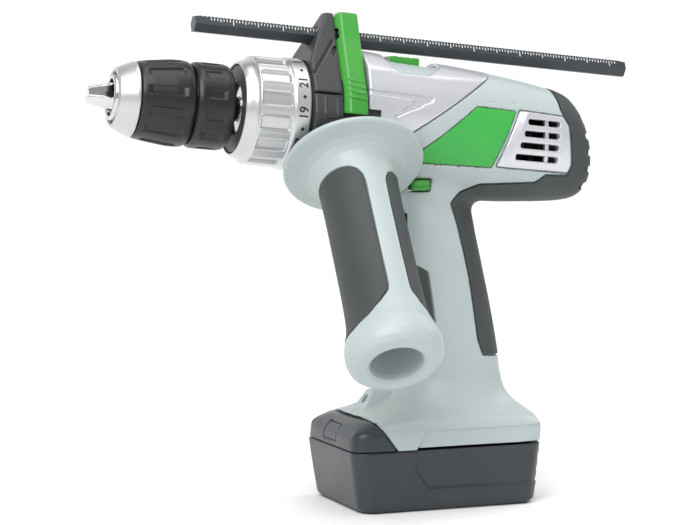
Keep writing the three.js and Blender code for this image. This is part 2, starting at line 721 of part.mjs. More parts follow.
function buildChuck(head) {
  let body = turned(
    [
      [CHUCK_REAR + 11, 0],
      [NOSE_LINE + 11.4, 0],
      [NOSE_LINE + 11.4, 9.5],
      [NOSE_LINE + 8, 12],
      [NOSE_LINE, 12.6],
      [NOSE_LINE - 4, 14.6],
      [NUT_CENTRE + NUT_WIDTH / 2 + GAP, 14.6],
      [NUT_CENTRE + NUT_WIDTH / 2 + GAP, 13],
      [NUT_CENTRE - NUT_WIDTH / 2 - GAP, 13],
      [NUT_CENTRE - NUT_WIDTH / 2 - GAP, BODY_RADIUS],
      [CHUCK_REAR + 4, BODY_RADIUS],
      [CHUCK_REAR + 4, 12],
      [CHUCK_REAR + 1, 12],
      [CHUCK_REAR + 1, SPINDLE_RADIUS + GAP],
      [CHUCK_REAR + 11, SPINDLE_RADIUS + GAP],
    ],
    30,
  );
  for (let i = 0; i < 3; i += 1) {
    const place = turnX((2 * Math.PI * i) / 3)
      .multiply(move(JAW_TIP, 0, JAW_TIP_OFFSET))
      .multiply(turnY(JAW_ANGLE));
    const way = bar(-62, 10, JAW_RADIUS + RUN, 12).transform(place.elements);
    body = body.subtract(way);
    add(head, "jaw_" + (i + 1), jaw(i), STEEL);
  }
  body = body.subtract(bar(CHUCK_REAR + 16, 200, 4.5, 16));
  add(head, "chuck_body", largest(body), STEEL);

  const rear = [
    [CHUCK_REAR, 12.6],
    [CHUCK_REAR + 3, 12.6],
    [CHUCK_REAR + 3, BODY_RADIUS + 1.2],
    [SLEEVE_SPLIT - 0.3, BODY_RADIUS + 1.2],
    [SLEEVE_SPLIT - 0.3, SLEEVE_RADIUS - 1],
    [SLEEVE_SPLIT - 2, SLEEVE_RADIUS + 0.2],
    [CHUCK_REAR + 3, SLEEVE_RADIUS + 0.2],
    [CHUCK_REAR, SLEEVE_RADIUS - 1.5],
  ];
  add(head, "chuck_rear_sleeve", fluted(rear, FLUTES, 0.7, CHUCK_REAR + 4, SLEEVE_SPLIT - 3), BLACK);
  const front = [
    [SLEEVE_SPLIT + 0.4, BODY_RADIUS + 0.8],
    [NUT_CENTRE - NUT_WIDTH / 2 + 0.4, BODY_RADIUS + 0.8],
    [NUT_CENTRE - NUT_WIDTH / 2 + 1.4, NUT_RADIUS + GAP],
    [NOSE_LINE - 0.3, NUT_RADIUS + GAP],
    [NOSE_LINE - 0.3, NOSE_LINE_RADIUS],
    [NOSE_LINE - 3, NOSE_LINE_RADIUS + 0.6],
    [SLEEVE_SPLIT + 6, SLEEVE_RADIUS + 0.2],
    [SLEEVE_SPLIT + 2, SLEEVE_RADIUS],
    [SLEEVE_SPLIT + 0.4, SLEEVE_RADIUS - 1.2],
  ];
  const flutedFront = fluted(front, FLUTES, FLUTE_DEPTH, SLEEVE_SPLIT + 4, NOSE_LINE - 6);
  add(head, "chuck_front_sleeve", flutedFront, BLACK);
  const nose = [
    [NOSE_LINE, 13.4],
    [CHUCK_FRONT, 12.6],
    [CHUCK_FRONT, CHUCK_MOUTH_RADIUS - 0.5],
    [CHUCK_FRONT - 1, CHUCK_MOUTH_RADIUS + 0.4],
    [NOSE_LINE + 1.5, NOSE_LINE_RADIUS - 0.2],
    [NOSE_LINE, NOSE_LINE_RADIUS - 0.2],
  ];
  add(head, "chuck_nose_ring", turned(nose, 32), ALLOY);
  const [nutRear, nutFront] = [NUT_CENTRE - NUT_WIDTH / 2, NUT_CENTRE + NUT_WIDTH / 2];
  add(head, "chuck_nut", tube(nutRear, nutFront, 13.4, NUT_RADIUS, 32), STEEL);
}

function buildCollar(head) {
  const ring = turned(
    [
      [COLLAR_REAR + 0.4, NOSE_RADIUS + RUN],
      [COLLAR_FRONT, NOSE_RADIUS + RUN],
      [COLLAR_FRONT, 22.6],
      [COLLAR_FRONT - 1.8, 23.5],
      [COLLAR_FRONT - 6, 25.2],
      [COLLAR_FRONT - 7, COLLAR_RADIUS - PAD_HEIGHT],
      [COLLAR_REAR + 10, COLLAR_RADIUS - PAD_HEIGHT],
      [COLLAR_REAR + 9, COLLAR_RADIUS],
      [COLLAR_REAR + 1.4, COLLAR_RADIUS],
      [COLLAR_REAR + 0.4, COLLAR_RADIUS - 1],
    ],
    36,
  );
  const teeth = circle(COLLAR_RADIUS, COLLAR_PADS * 4).map(([y, z], i) =>
    i % 4 < 2 ? [y, z] : [y * (1 - PAD_HEIGHT / COLLAR_RADIUS), z * (1 - PAD_HEIGHT / COLLAR_RADIUS)],
  );
  const pads = forwards(teeth, COLLAR_REAR + 8, COLLAR_FRONT - 8.5);
  const core = bar(0, 200, NOSE_RADIUS + 2, 18);
  add(head, "torque_collar", ring.add(pads.subtract(core)), ALLOY);
}

// ---- Clamp, depth rod and side handle ------------------------------------------------------------

// The clamp's form seen from the front: [y, u] points of a peaked yoke over a round band.
function yokeOutline(grow) {
  const rim = circle(CLAMP_RADIUS + grow, 48).filter(([, u]) => u < 0.5);
  const lower = rim.sort(([, ua], [, ub]) => ua - ub);
  const left = lower.filter(([y]) => y < 0).sort(([, ua], [, ub]) => ub - ua);
  const right = lower.filter(([y]) => y >= 0).sort(([, ua], [, ub]) => ua - ub);
  const side = [[27 + grow, 11], [10 + grow, 38.7], [3 + grow / 2, 51.4]];
  const other = [...side].reverse().map(([y, u]) => [-y, u]);
  return [...right, ...side, ...other, ...left];
}

// A hexagonal bar along the head, across flats top and bottom.
function hexBar(from, to, across) {
  const corner = across / Math.sqrt(3);
  const outline = circle(corner, 6);
  return forwards(outline, from, to).transform(move(0, 0, ROD_HEIGHT).elements);
}

const handleAxes = move(HANDLE_STATION, 0, 0)
  .multiply(turnX(-HANDLE_DROP))
  .multiply(turnZ(Math.PI / 2));

function buildClamp(head) {
  const neck = bar(0, 100, NECK_RADIUS + RUN, 40);
  let yoke = forwards(yokeOutline(0), CLAMP_REAR, CLAMP_FRONT);
  const frontSlope = sideways([[66.5, 26], [55.6, 52], [55.6, 60], [90, 60], [90, 26]], -60, 60);
  const leverRoom = forwards(yokeOutline(6), LEVER_REAR - 0.5, LEVER_FRONT + 0.5);
  const above = box([0, -80, -4], [100, 80, 80]);
  const behind = box([0, -80, 14], [LEVER_REAR - 0.4, 80, 80]);
  const rodWay = hexBar(0, 100, ROD_ACROSS + 2 * RUN);
  yoke = yoke.subtract(frontSlope).subtract(leverRoom.intersect(above)).subtract(behind);
  yoke = yoke.subtract(neck).subtract(rodWay);
  const boltWay = bar(0, 60, BOLT_RADIUS + GAP, 20).transform(handleAxes.elements);
  yoke = yoke.subtract(boltWay);
  const slit = 1.2;
  const handleSide = turnX(-HANDLE_DROP);
  const lowerHalf = box([0, 10, -80], [100, 80, 80]).transform(handleSide.elements);
  const upperHalf = box([0, -80, -80], [100, 10 - slit, 80]).transform(handleSide.elements);
  add(head, "clamp_yoke", largest(yoke.intersect(upperHalf)), DARK);
  add(head, "clamp_saddle", largest(yoke.intersect(lowerHalf)), DARK);
}

function buildLever(head) {
  const outline = yokeOutline(1.2);
  const swing = ROD_HEIGHT * Math.tan(LEVER_SWING) + RUN;
  const slot = ROD_ACROSS / Math.sqrt(3);
  const window = box(
    [0, -slot - swing, ROD_HEIGHT - ROD_ACROSS / 2 - 1.6],
    [100, slot + swing, ROD_HEIGHT + ROD_ACROSS / 2 + 1.6],
  );
  let lever = forwards(outline, LEVER_REAR, LEVER_FRONT);
  lever = lever.subtract(bar(0, 100, NECK_RADIUS + RUN + 0.3, 48)).subtract(window);
  const skirt = 1.5;
  lever = lever.intersect(box([0, -80, skirt], [100, 80, 80]));
  const ribs = [10, 12.6, 15.2, 17.8];
  for (const u of ribs) {
    const rib = box([LEVER_REAR + 0.8, 18, u], [LEVER_FRONT - 0.8, 29.6 - (u - 10) * 0.62, u + 1]);
    lever = lever.add(rib.subtract(bar(0, 100, NECK_RADIUS + 1, 48)));
  }
  add(head, "rod_lock_lever", largest(lever), GREEN);
}

function buildRod(head) {
  const notch = box([ROD_FRONT - 22, -1.6, ROD_HEIGHT + 2.4], [ROD_FRONT - 5, 1.6, 60]);
  add(head, "depth_rod", hexBar(ROD_REAR, ROD_FRONT, ROD_ACROSS).subtract(notch), CHARCOAL);
}

// The side handle, turned about its own axis, which starts at the head's axis.
function buildHandle(head) {
  const handle = new THREE.Group();
  handle.applyMatrix4(handleAxes);
  head.add(handle);
  const gripStart = FLANGE_STATION + 12;
  const gripEnd = HANDLE_LENGTH - 16;
  const profile = [
    [HANDLE_START, 28],
    [FLANGE_STATION, FLANGE_RADIUS - 2],
    [FLANGE_STATION, FLANGE_RADIUS - 0.6],
    [FLANGE_STATION + 1.4, FLANGE_RADIUS],
    [FLANGE_STATION + 2.8, FLANGE_RADIUS - 1],
    [FLANGE_STATION + 7, 25],
    [gripStart, HANDLE_RADIUS + 0.8],
    [gripStart + 20, HANDLE_RADIUS],
    [gripEnd, HANDLE_RADIUS + 0.4],
    [HANDLE_LENGTH - 9, HANDLE_END_RADIUS - 0.6],
    [HANDLE_LENGTH - 4, HANDLE_END_RADIUS],
    [HANDLE_LENGTH - 0.6, HANDLE_END_RADIUS - 3],
    [HANDLE_LENGTH, HANDLE_END_RADIUS - 6.5],
    [HANDLE_LENGTH, HANDLE_HOLE_RADIUS + 0.8],
    [HANDLE_LENGTH - 1.2, HANDLE_HOLE_RADIUS],
    [HANDLE_LENGTH - HANDLE_HOLE_DEPTH, HANDLE_HOLE_RADIUS - 0.8],
    [HANDLE_LENGTH - HANDLE_HOLE_DEPTH, 0],
    [HANDLE_START + 24, 0],
    [HANDLE_START + 24, BOLT_RADIUS + GAP],
    [HANDLE_START, BOLT_RADIUS + GAP],
  ];
  const inlays = [
    { name: "handle_inlay_front", middle: STRIPE_MIDDLE + 90 },
    { name: "handle_inlay_rear", middle: STRIPE_MIDDLE - 90 },
  ];
  const segments = 32;
  let core = turned(profile, segments);
  const skin = turned(
    [
      [gripStart + 1, HANDLE_RADIUS - SKIN],
      [gripEnd + 1, HANDLE_RADIUS - SKIN],
      [gripEnd + 1, HANDLE_RADIUS + 4],
      [gripStart + 1, HANDLE_RADIUS + 4],
    ],
    segments,
  );
  const surface = core.intersect(skin);
  for (const { name, middle } of inlays) {
    const from = middle - 90 + STRIPE_WIDTH / 2;
    const to = middle + 90 - STRIPE_WIDTH / 2;
    const grow = THREE.MathUtils.radToDeg(GAP / HANDLE_RADIUS);
    core = core.subtract(skin.intersect(sector(from - grow, to + grow, gripStart, gripEnd)));
    const lift = turned(
      [
        [gripStart, HANDLE_RADIUS - SKIN + GAP],
        [gripEnd, HANDLE_RADIUS - SKIN + GAP],
        [gripEnd, 40],
        [gripStart, 40],
      ],
      segments,
    );
    const piece = surface.intersect(sector(from, to, gripStart + 1.6, gripEnd - 0.6));
    add(handle, name, largest(piece.intersect(lift)), RUBBER);
  }
  add(handle, "handle_core", largest(core), PALE);
  const bolt = bar(NECK_RADIUS + 1.2, HANDLE_START + 23, BOLT_RADIUS, 20);
  add(handle, "clamp_bolt", bolt, STEEL);
}

// A slice of the space round the X axis between two angles, in degrees.
function sector(from, to, start, end) {
  const steps = 10;
  const reach = 60;
  const points = [[0, 0]];
  for (let i = 0; i <= steps; i += 1) {
    const angle = THREE.MathUtils.degToRad(from + ((to - from) * i) / steps);
    points.push([reach * Math.cos(angle), reach * Math.sin(angle)]);
  }
  return forwards(points, start, end);
}

// ---- Battery ---------------------------------------------------------------------------------------

const CASE_POWER = 9; // how square the battery's corners are

// Sections up the battery case: [height, half-length, half-width]
function caseSections(inset) {
  const half = BATTERY_LENGTH / 2;
  const rows = [
    [0, half - 5.4, BATTERY_HALF_WIDTH - 2.6],
    [2.4, half - 3.6, BATTERY_HALF_WIDTH - 1.2],
    [15, half - 1.6, BATTERY_HALF_WIDTH - 0.6],
    [SEAM_HEIGHT - GAP, half + 0.4, BATTERY_HALF_WIDTH],
  ];
  const low = inset > 0 ? 3 : 0;
  return rows.map(([height, length, width], i) => ({
    centre: new THREE.Vector3(-0.8, 0, i ? Math.max(height, low + i) + (inset > 0 ? 0.2 * i : 0) : low),
    across: new THREE.Vector3(length - inset, 0, 0),
    up: new THREE.Vector3(0, inset - width, 0),
    power: CASE_POWER,
  }));
}

function buildBattery(root) {
  const shell = loft(caseSections(0), 24).subtract(loft(caseSections(CASE_THICKNESS), 24));
  add(root, "battery_case", shell, CHARCOAL);
  const lid = loft(
    [SEAM_HEIGHT - 3.6, SEAM_HEIGHT - GAP].map((height) => ({
      centre: new THREE.Vector3(-0.8, 0, height),
      across: new THREE.Vector3(BATTERY_LENGTH / 2 - CASE_THICKNESS - 2, 0, 0),
      up: new THREE.Vector3(0, CASE_THICKNESS + 1 - BATTERY_HALF_WIDTH, 0),
      power: CASE_POWER,
    })),
    24,
  );
  const half = DECK_HALF_WIDTH;
  let deck = lid.add(box([-44, -half, SEAM_HEIGHT - 1], [26.5, half, DECK_HEIGHT]));
  for (const y of [-7, 7]) {
    deck = deck.subtract(box([-50, y - 1.2, DECK_HEIGHT - 8], [-12, y + 1.2, DECK_HEIGHT + 5]));
  }
  add(root, "battery_deck", deck, CHARCOAL);
  const inCap = sideways(shrunk(CAP_OUTLINE, GAP), -OUTSIDE, OUTSIDE);
  const capForm = grip(0).intersect(inCap).subtract(box([0, -80, 0], [100, 80, SEAM_HEIGHT + 0.2]));
  const latchWay = box([39, -9 - RUN, 33], [70, 9 + RUN, 41.4]);
  add(root, "battery_cap", largest(capForm.subtract(latchWay)), CHARCOAL);
  const latch = grip(0.4).intersect(box([39 + LATCH_TRAVEL + 0.6, -9, 33.4], [70, 9, 41]));
  add(root, "battery_latch", largest(latch), BLACK);
  const pitch = 2 * CELL_RADIUS + GAP;
  for (let i = 0; i < CELLS; i += 1) {
    const x = -0.8 + (i - (CELLS - 1) / 2) * pitch;
    const place = move(x, 0, CELL_RADIUS + 5).multiply(turnZ(Math.PI / 2));
    const cell = bar(-CELL_LENGTH / 2, CELL_LENGTH / 2, CELL_RADIUS, 14);
    add(root, "battery_cell_" + (i + 1), cell.transform(place.elements), ALLOY);
  }
}

// ---- The drill --------------------------------------------------------------------------------------

const drill = new THREE.Group();
const headGroup = new THREE.Group();
headGroup.applyMatrix4(HEAD);
drill.add(headGroup);
buildHousing(drill);
buildLamp(drill);
buildControls(drill);
buildBattery(drill);
buildGearbox(headGroup);
buildMotor(headGroup);
buildPlanets(headGroup);
buildChuck(headGroup);
buildCollar(headGroup);
buildClamp(headGroup);
buildLever(headGroup);
buildRod(headGroup);
buildHandle(headGroup);

export default drill;
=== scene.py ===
"""Looks of a cordless drill with a side handle and a depth rod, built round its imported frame."""

import json
import logging
import math
from dataclasses import dataclass
from enum import Enum
from typing import Callable, Sequence

import bmesh
import bpy
import numpy as np
from mathutils import Matrix, Vector


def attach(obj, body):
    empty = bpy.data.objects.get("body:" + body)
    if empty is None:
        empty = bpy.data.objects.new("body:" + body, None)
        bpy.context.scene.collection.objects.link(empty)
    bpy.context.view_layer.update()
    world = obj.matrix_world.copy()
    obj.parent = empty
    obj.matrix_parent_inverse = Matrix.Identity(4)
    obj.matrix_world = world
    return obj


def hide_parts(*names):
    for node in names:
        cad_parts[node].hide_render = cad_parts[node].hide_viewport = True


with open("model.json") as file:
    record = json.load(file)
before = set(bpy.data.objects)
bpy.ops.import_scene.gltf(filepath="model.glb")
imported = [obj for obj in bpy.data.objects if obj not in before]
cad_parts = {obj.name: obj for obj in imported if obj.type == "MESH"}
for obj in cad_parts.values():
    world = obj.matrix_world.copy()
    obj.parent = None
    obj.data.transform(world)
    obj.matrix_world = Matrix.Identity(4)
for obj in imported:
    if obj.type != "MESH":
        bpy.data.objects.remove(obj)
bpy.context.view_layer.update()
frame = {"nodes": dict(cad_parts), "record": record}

Array = np.ndarray
Distance = Callable[[Array, Array, Array], Array]
Outline = Sequence[tuple[float, float]]
Tree = bpy.types.NodeTree
Socket = bpy.types.NodeSocket
log = logging.getLogger("drill")

MM = 0.001
GAP = 0.3  # mm between neighbouring pieces
HEAD_HEIGHT = 188.6
HEAD_PITCH = math.radians(5.42)
PITCH_COS = math.cos(HEAD_PITCH)
PITCH_SIN = math.sin(HEAD_PITCH)
HEAD = Matrix.Translation((0, 0, HEAD_HEIGHT)) @ Matrix.Rotation(-HEAD_PITCH, 4, "Y")
MOTOR_ROOM = 23.2  # radius kept free inside the housing and its cover
ROD_HEIGHT = 39.3
ROD_ACROSS = 8.0
HANDLE_STATION = 40.7
HANDLE_DROP = math.radians(48.96)
GRIP_RADIUS = 19.0
COARSE = 1.0  # quick tries sample the solids more coarsely


# ---- Distances --------------------------------------------------------------------------------


def both(first: Array, second: Array, round_by: float = 0.0) -> Array:
    """The distance to what two solids share, its edge rounded.

    Args:
        first: distance to one solid, negative inside.
        second: distance to the other solid.
        round_by: width of the rounding at the edge, in mm.

    Returns:
        The distance to the shared solid.
    """
    if round_by <= 0:
        return np.maximum(first, second)
    near = np.maximum(round_by - np.abs(first - second), 0) / round_by
    return np.maximum(first, second) + near * near * round_by / 4


def joined(first: Array, second: Array, round_by: float = 0.0) -> Array:
    """The distance to two solids together, with a fillet of about round_by between them."""
    return -both(-first, -second, round_by)


def without(body: Array, tool: Array, round_by: float = 0.0) -> Array:
    """The distance to a solid with a tool cut from it, the cut's edge rounded by round_by."""
    return both(body, -tool, round_by)


def block(
    p: Array, q: Array, r: Array, low: Sequence[float], high: Sequence[float], edge: float = 0.0
) -> Array:
    """The distance to a box with rounded edges.

    Args:
        p: first coordinate.
        q: second coordinate.
        r: third coordinate.
        low: lowest corner.
        high: highest corner.
        edge: radius of its edges, in mm.

    Returns:
        The distance, negative inside.
    """
    outside = np.zeros_like(p)
    inside = np.full_like(p, -1e9)
    for value, start, end in zip((p, q, r), low, high):
        past = np.abs(value - (start + end) / 2) - (end - start) / 2 + edge
        outside = outside + np.maximum(past, 0) ** 2
        inside = np.maximum(inside, past)
    return np.sqrt(outside) + np.minimum(inside, 0) - edge


def outlined(outline: Outline, p: Array, q: Array) -> Array:
    """The distance to a flat outline, negative inside it.

    Args:
        outline: its corners in order.
        p: first coordinate of the points.
        q: second coordinate of the points.

    Returns:
        The distance in the outline's plane.
    """
    nearest = np.full(np.shape(p), 1e18)
    sign = np.ones(np.shape(p))
    for (ax, ay), (bx, by) in zip(outline, list(outline[1:]) + [outline[0]]):
        ex, ey = bx - ax, by - ay
        wx, wy = p - ax, q - ay
        t = np.clip((wx * ex + wy * ey) / (ex * ex + ey * ey), 0, 1)
        nearest = np.minimum(nearest, (wx - ex * t) ** 2 + (wy - ey * t) ** 2)
        above, below, left = q >= ay, q < by, ex * wy > ey * wx
        crossing = (above & below & left) | (~above & ~below & ~left)
        sign = np.where(crossing, -sign, sign)
    return sign * np.sqrt(nearest)


def shrunk(outline: Outline, distance: float) -> list[tuple[float, float]]:
    """An outline moved inwards.

    Args:
        outline: its corners in order.
        distance: how far each side moves, in mm.

    Returns:
        The corners of the smaller outline.
    """
    area = sum(a[0] * b[1] - b[0] * a[1] for a, b in zip(outline, list(outline[1:]) + [outline[0]]))
    side = 1.0 if area > 0 else -1.0
    moved = []
    for i, (x, y) in enumerate(outline):
        before = Vector((x - outline[i - 1][0], y - outline[i - 1][1])).normalized()
        after_x, after_y = outline[(i + 1) % len(outline)]
        after = Vector((after_x - x, after_y - y)).normalized()
        normal = Vector((-before.y - after.y, before.x + after.x)).normalized()
        stretch = distance / max(0.4, normal.dot(Vector((-before.y, before.x))))
        moved.append((x + side * normal.x * stretch, y + side * normal.y * stretch))
    return moved


def rounded(outline: Outline, radius: float, p: Array, q: Array) -> Array:
    """The distance to an outline whose corners are rounded by a radius in mm."""
    return outlined(shrunk(outline, radius), p, q) - radius


def stroke(start: tuple[float, float], end: tuple[float, float], p: Array, q: Array) -> Array:
    """The plain distance to a straight line between two points in a plane."""
    ex, ey = end[0] - start[0], end[1] - start[1]
    t = np.clip(((p - start[0]) * ex + (q - start[1]) * ey) / (ex * ex + ey * ey), 0, 1)
    return np.hypot(p - start[0] - ex * t, q - start[1] - ey * t)


def to_head(x: Array, z: Array) -> tuple[Array, Array]:
    """Turns the drill's x and z into the head's station and height."""
    lift = z - HEAD_HEIGHT
    return x * PITCH_COS + lift * PITCH_SIN, lift * PITCH_COS - x * PITCH_SIN


def smooth_curve(knots: Array, values: Array, at: Array) -> Array:
    """A smooth curve through values that never overshoots them.

    Args:
        knots: rising positions.
        values: the value at each position.
        at: where to read the curve.

    Returns:
        The curve's values there.
    """
    step = np.diff(knots)
    slope = np.diff(values) / step
    tangent = np.zeros(len(knots))
    tangent[0], tangent[-1] = slope[0], slope[-1]
    for i in range(1, len(knots) - 1):
        if slope[i - 1] * slope[i] > 0:
            w1, w2 = 2 * step[i] + step[i - 1], step[i] + 2 * step[i - 1]
            tangent[i] = (w1 + w2) / (w1 / slope[i - 1] + w2 / slope[i])
    k = np.clip(np.searchsorted(knots, at) - 1, 0, len(knots) - 2)
    t = np.clip((at - knots[k]) / step[k], 0, 1)
    t2, t3 = t * t, t * t * t
    start = (2 * t3 - 3 * t2 + 1) * values[k] + (t3 - 2 * t2 + t) * step[k] * tangent[k]
    return start + (3 * t2 - 2 * t3) * values[k + 1] + (t3 - t2) * step[k] * tangent[k + 1]


class Lofted:
    """A form through superellipse sections along one axis, smooth between them."""

    SAMPLES = 600

    def __init__(self, rows: Sequence[Sequence[float]]) -> None:
        """Prepares the sections.

        Args:
            rows: (station, low, high, half-width, power) of each section.
        """
        table = np.array(rows, float)
        length = np.r_[0, np.cumsum(np.linalg.norm(np.diff(table[:, :4], axis=0), axis=1) + 1e-6)]
        at = np.linspace(0, length[-1], self.SAMPLES)
        fine = [smooth_curve(length, table[:, i], at) for i in range(5)]
        self.station, low, high, self.half, self.power = fine
        self.middle, self.reach = (low + high) / 2, (high - low) / 2

    def radial(self, station: Array, up: Array, side: Array) -> Array:
        """How far a point lies outside its section, measured from the section's middle."""
        middle = np.interp(station, self.station, self.middle)
        reach = np.interp(station, self.station, self.reach)
        half = np.interp(station, self.station, self.half)
        power = np.interp(station, self.station, self.power)
        v = up - middle
        ring = (np.abs(side) / half) ** power + (np.abs(v) / reach) ** power
        ratio = np.maximum(ring, 1e-9) ** (1 / power)
        return np.hypot(side, v) * (1 - 1 / np.maximum(ratio, 1e-3))

    def distance(self, station: Array, up: Array, side: Array) -> Array:
        """The distance to the form, allowing for how steeply its sides run."""
        probe = 0.3
        here = self.radial(station, up, side)
        slope = (self.radial(station + probe, up, side) - here) / probe
        return here / np.sqrt(1 + slope * slope)


# ---- Meshes -----------------------------------------------------------------------------------

CORNERS = np.array([[i, j, k] for i in (0, 1) for j in (0, 1) for k in (0, 1)])
CELL_EDGES = [
    (a, b) for a in range(8) for b in range(a + 1, 8) if abs(CORNERS[a] - CORNERS[b]).sum() == 1
]


@dataclass
class Surface:
    """A closed mesh in mm: its points and faces."""

    points: Array
    faces: list[list[int]]

    def placed(self, matrix: Matrix) -> "Surface":
        """The same mesh moved by a matrix in mm."""
        m = np.array(matrix)
        return Surface(self.points @ m[:3, :3].T + m[:3, 3], self.faces)

    def mirrored(self) -> "Surface":
        """The same mesh on the drill's other side."""
        return Surface(self.points * np.array([1, -1, 1]), [face[::-1] for face in self.faces])

    def plus(self, other: "Surface") -> "Surface":
        """This mesh and another as one."""
        shift = len(self.points)
        more = [[i + shift for i in face] for face in other.faces]
        return Surface(np.vstack([self.points, other.points]), self.faces + more)


@dataclass(frozen=True)
class Sampler:
    """Turns a distance into an even mesh inside a box."""

    low: tuple[float, float, float]
    high: tuple[float, float, float]
    step: float = 0.8
    block: int = 6

    def grid(self, distance: Distance, step: float) -> Array:
        """Distances on a grid, worked out only near the surface.

        Args:
            distance: the solid.
            step: grid spacing in mm.

        Returns:
            One value for each grid point.
        """
        low, high = np.array(self.low), np.array(self.high)
        blocks = np.ceil((high - low) / step / self.block).astype(int) + 1
        index = np.stack(np.meshgrid(*[np.arange(n) for n in blocks], indexing="ij"), -1)
        centre = low + (index * self.block + (self.block - 1) / 2) * step
        rough = distance(centre[..., 0], centre[..., 1], centre[..., 2])
        values = rough
        for axis in range(3):
            values = np.repeat(values, self.block, axis)
        near = index[np.abs(rough) < self.block * step * 1.25 + 1.5].reshape(-1, 3)
        inner = np.stack(np.meshgrid(*[np.arange(self.block)] * 3, indexing="ij"), -1).reshape(-1, 3)
        for chunk in np.array_split(near, max(1, len(near) // 3000)):
            cells = (chunk[:, None, :] * self.block + inner[None]).reshape(-1, 3)
            at = low + cells * step
            values[tuple(cells.T)] = distance(at[:, 0], at[:, 1], at[:, 2])
        return values

    def mesh(self, distance: Distance) -> Surface:
        """Meshes a solid with one point in each grid cell that its surface crosses.

        Args:
            distance: the solid.

        Returns:
            Its closed surface.
        """
        step = self.step * COARSE
        values = self.grid(distance, step)
        inside = values < 0
        shape = np.array(inside.shape) - 1
        count = np.zeros(shape, np.uint8)
        for i, j, k in CORNERS:
            count += inside[i : shape[0] + i, j : shape[1] + j, k : shape[2] + k]
        mixed = (count > 0) & (count < 8)
        cells = np.argwhere(mixed)
        number = np.full(shape, -1)
        number[mixed] = np.arange(len(cells))
        total, hits = np.zeros((len(cells), 3)), np.zeros(len(cells))
        corner = [values[tuple((cells + c).T)] for c in CORNERS]
        for a, b in CELL_EDGES:
            crossed = (corner[a] < 0) != (corner[b] < 0)
            first, second = corner[a][crossed], corner[b][crossed]
            t = (first / (first - second))[:, None]
            total[crossed] += CORNERS[a] + t * (CORNERS[b] - CORNERS[a])
            hits[crossed] += 1
        points = np.array(self.low) + (cells + total / hits[:, None]) * step
        return Surface(self.settle(distance, points, step), self.quads(inside, number))

    @staticmethod
    def settle(distance: Distance, points: Array, step: float) -> Array:
        """Moves points onto the solid's surface, by at most half a step each time."""
        probe = 0.04
        for _ in range(3):
            here = distance(*points.T)
            slope = np.empty_like(points)
            for axis in range(3):
                ahead = points.copy()
                ahead[:, axis] += probe
                slope[:, axis] = (distance(*ahead.T) - here) / probe
            steep = np.maximum((slope * slope).sum(1), 0.2)
            move = np.clip(here / steep, -0.5 * step, 0.5 * step)
            points = points - move[:, None] * slope
        return points

    @staticmethod
    def quads(inside: Array, number: Array) -> list[list[int]]:
        """The faces between the cells round each grid edge that the surface crosses."""
        faces = []
        for axis in range(3):
            start = [slice(None)] * 3
            end = [slice(None)] * 3
            start[axis], end[axis] = slice(None, -1), slice(1, None)
            lower = inside[tuple(start)]
            edge = np.argwhere(lower != inside[tuple(end)])
            second, third = (axis + 1) % 3, (axis + 2) % 3
            limit = np.array(number.shape)
            keep = (edge[:, second] > 0) & (edge[:, third] > 0) & (edge < limit).all(1)
            edge = edge[keep]
            b, c = np.eye(3, dtype=int)[second], np.eye(3, dtype=int)[third]
            ring = [number[tuple((edge - d).T)] for d in (b + c, c, 0 * b, b)]
            quad = np.stack(ring, 1)
            outward = lower[tuple(edge.T)]
            quad[~outward] = quad[~outward][:, ::-1]
            faces += quad.tolist()
        return faces


def eased(profile: Outline, radius: float, steps: int = 4) -> list[tuple[float, float]]:
    """A closed profile with its corners rounded, apart from those on the axis.

    Args:
        profile: (station, radius) corners in order.
        radius: how far each rounding reaches from its corner, in mm.
        steps: points on each rounding.

    Returns:
        The rounded profile.
    """
    out = []
    for i, (s, r) in enumerate(profile):
        if r < 1e-6:
            out.append((s, r))
            continue
        here = Vector((s, r))
        before = Vector(profile[i - 1]) - here
        after = Vector(profile[(i + 1) % len(profile)]) - here
        first = here + before.normalized() * min(radius, before.length * 0.45)
        last = here + after.normalized() * min(radius, after.length * 0.45)
        for k in range(steps + 1):
            t = k / steps
            point = first * (1 - t) ** 2 + here * 2 * t * (1 - t) + last * t * t
            out.append((point.x, point.y))
    return out


def revolved(
    profile: Outline,
    segments: int = 128,
    shape: Callable[[Array, Array, Array], Array] | None = None,
) -> Surface:
    """Turns a closed profile round the head's axis.

    Args:
        profile: (station, radius) points in order.
        segments: faces round the axis.
        shape: changes the radius by station, radius and angle.

    Returns:
        The turned surface.
    """
    rings, points, faces = [], [], []
    angle = np.arange(segments) * 2 * math.pi / segments
    for s, r in profile:
        if r < 1e-6:
            rings.append([len(points)] * segments)
            points.append((s, 0.0, 0.0))
            continue
        radius = np.full(segments, float(r))
        if shape is not None:
            radius = shape(np.full(segments, float(s)), radius, angle)
        rings.append(list(range(len(points), len(points) + segments)))
        points += [(s, a, b) for a, b in zip(radius * np.cos(angle), radius * np.sin(angle))]
    for first, second in zip(rings, rings[1:] + rings[:1]):
        for i in range(segments):
            j = (i + 1) % segments
            loop = list(dict.fromkeys((first[i], second[i], second[j], first[j])))
            if len(loop) > 2:
                faces.append(loop)
    made = Surface(np.array(points, float), faces)
    return outward(made)


def volume(surface: Surface) -> float:
    """The volume that a surface encloses, negative if it faces inwards."""
    total = 0.0
    for face in surface.faces:
        a = surface.points[face[0]]
        for i in range(1, len(face) - 1):
            total += float(np.dot(a, np.cross(surface.points[face[i]], surface.points[face[i + 1]])))
    return total / 6


def outward(surface: Surface) -> Surface:
    """The same surface with its faces turned to point outwards."""
    if volume(surface) > 0:
        return surface
    return Surface(surface.points, [face[::-1] for face in surface.faces])


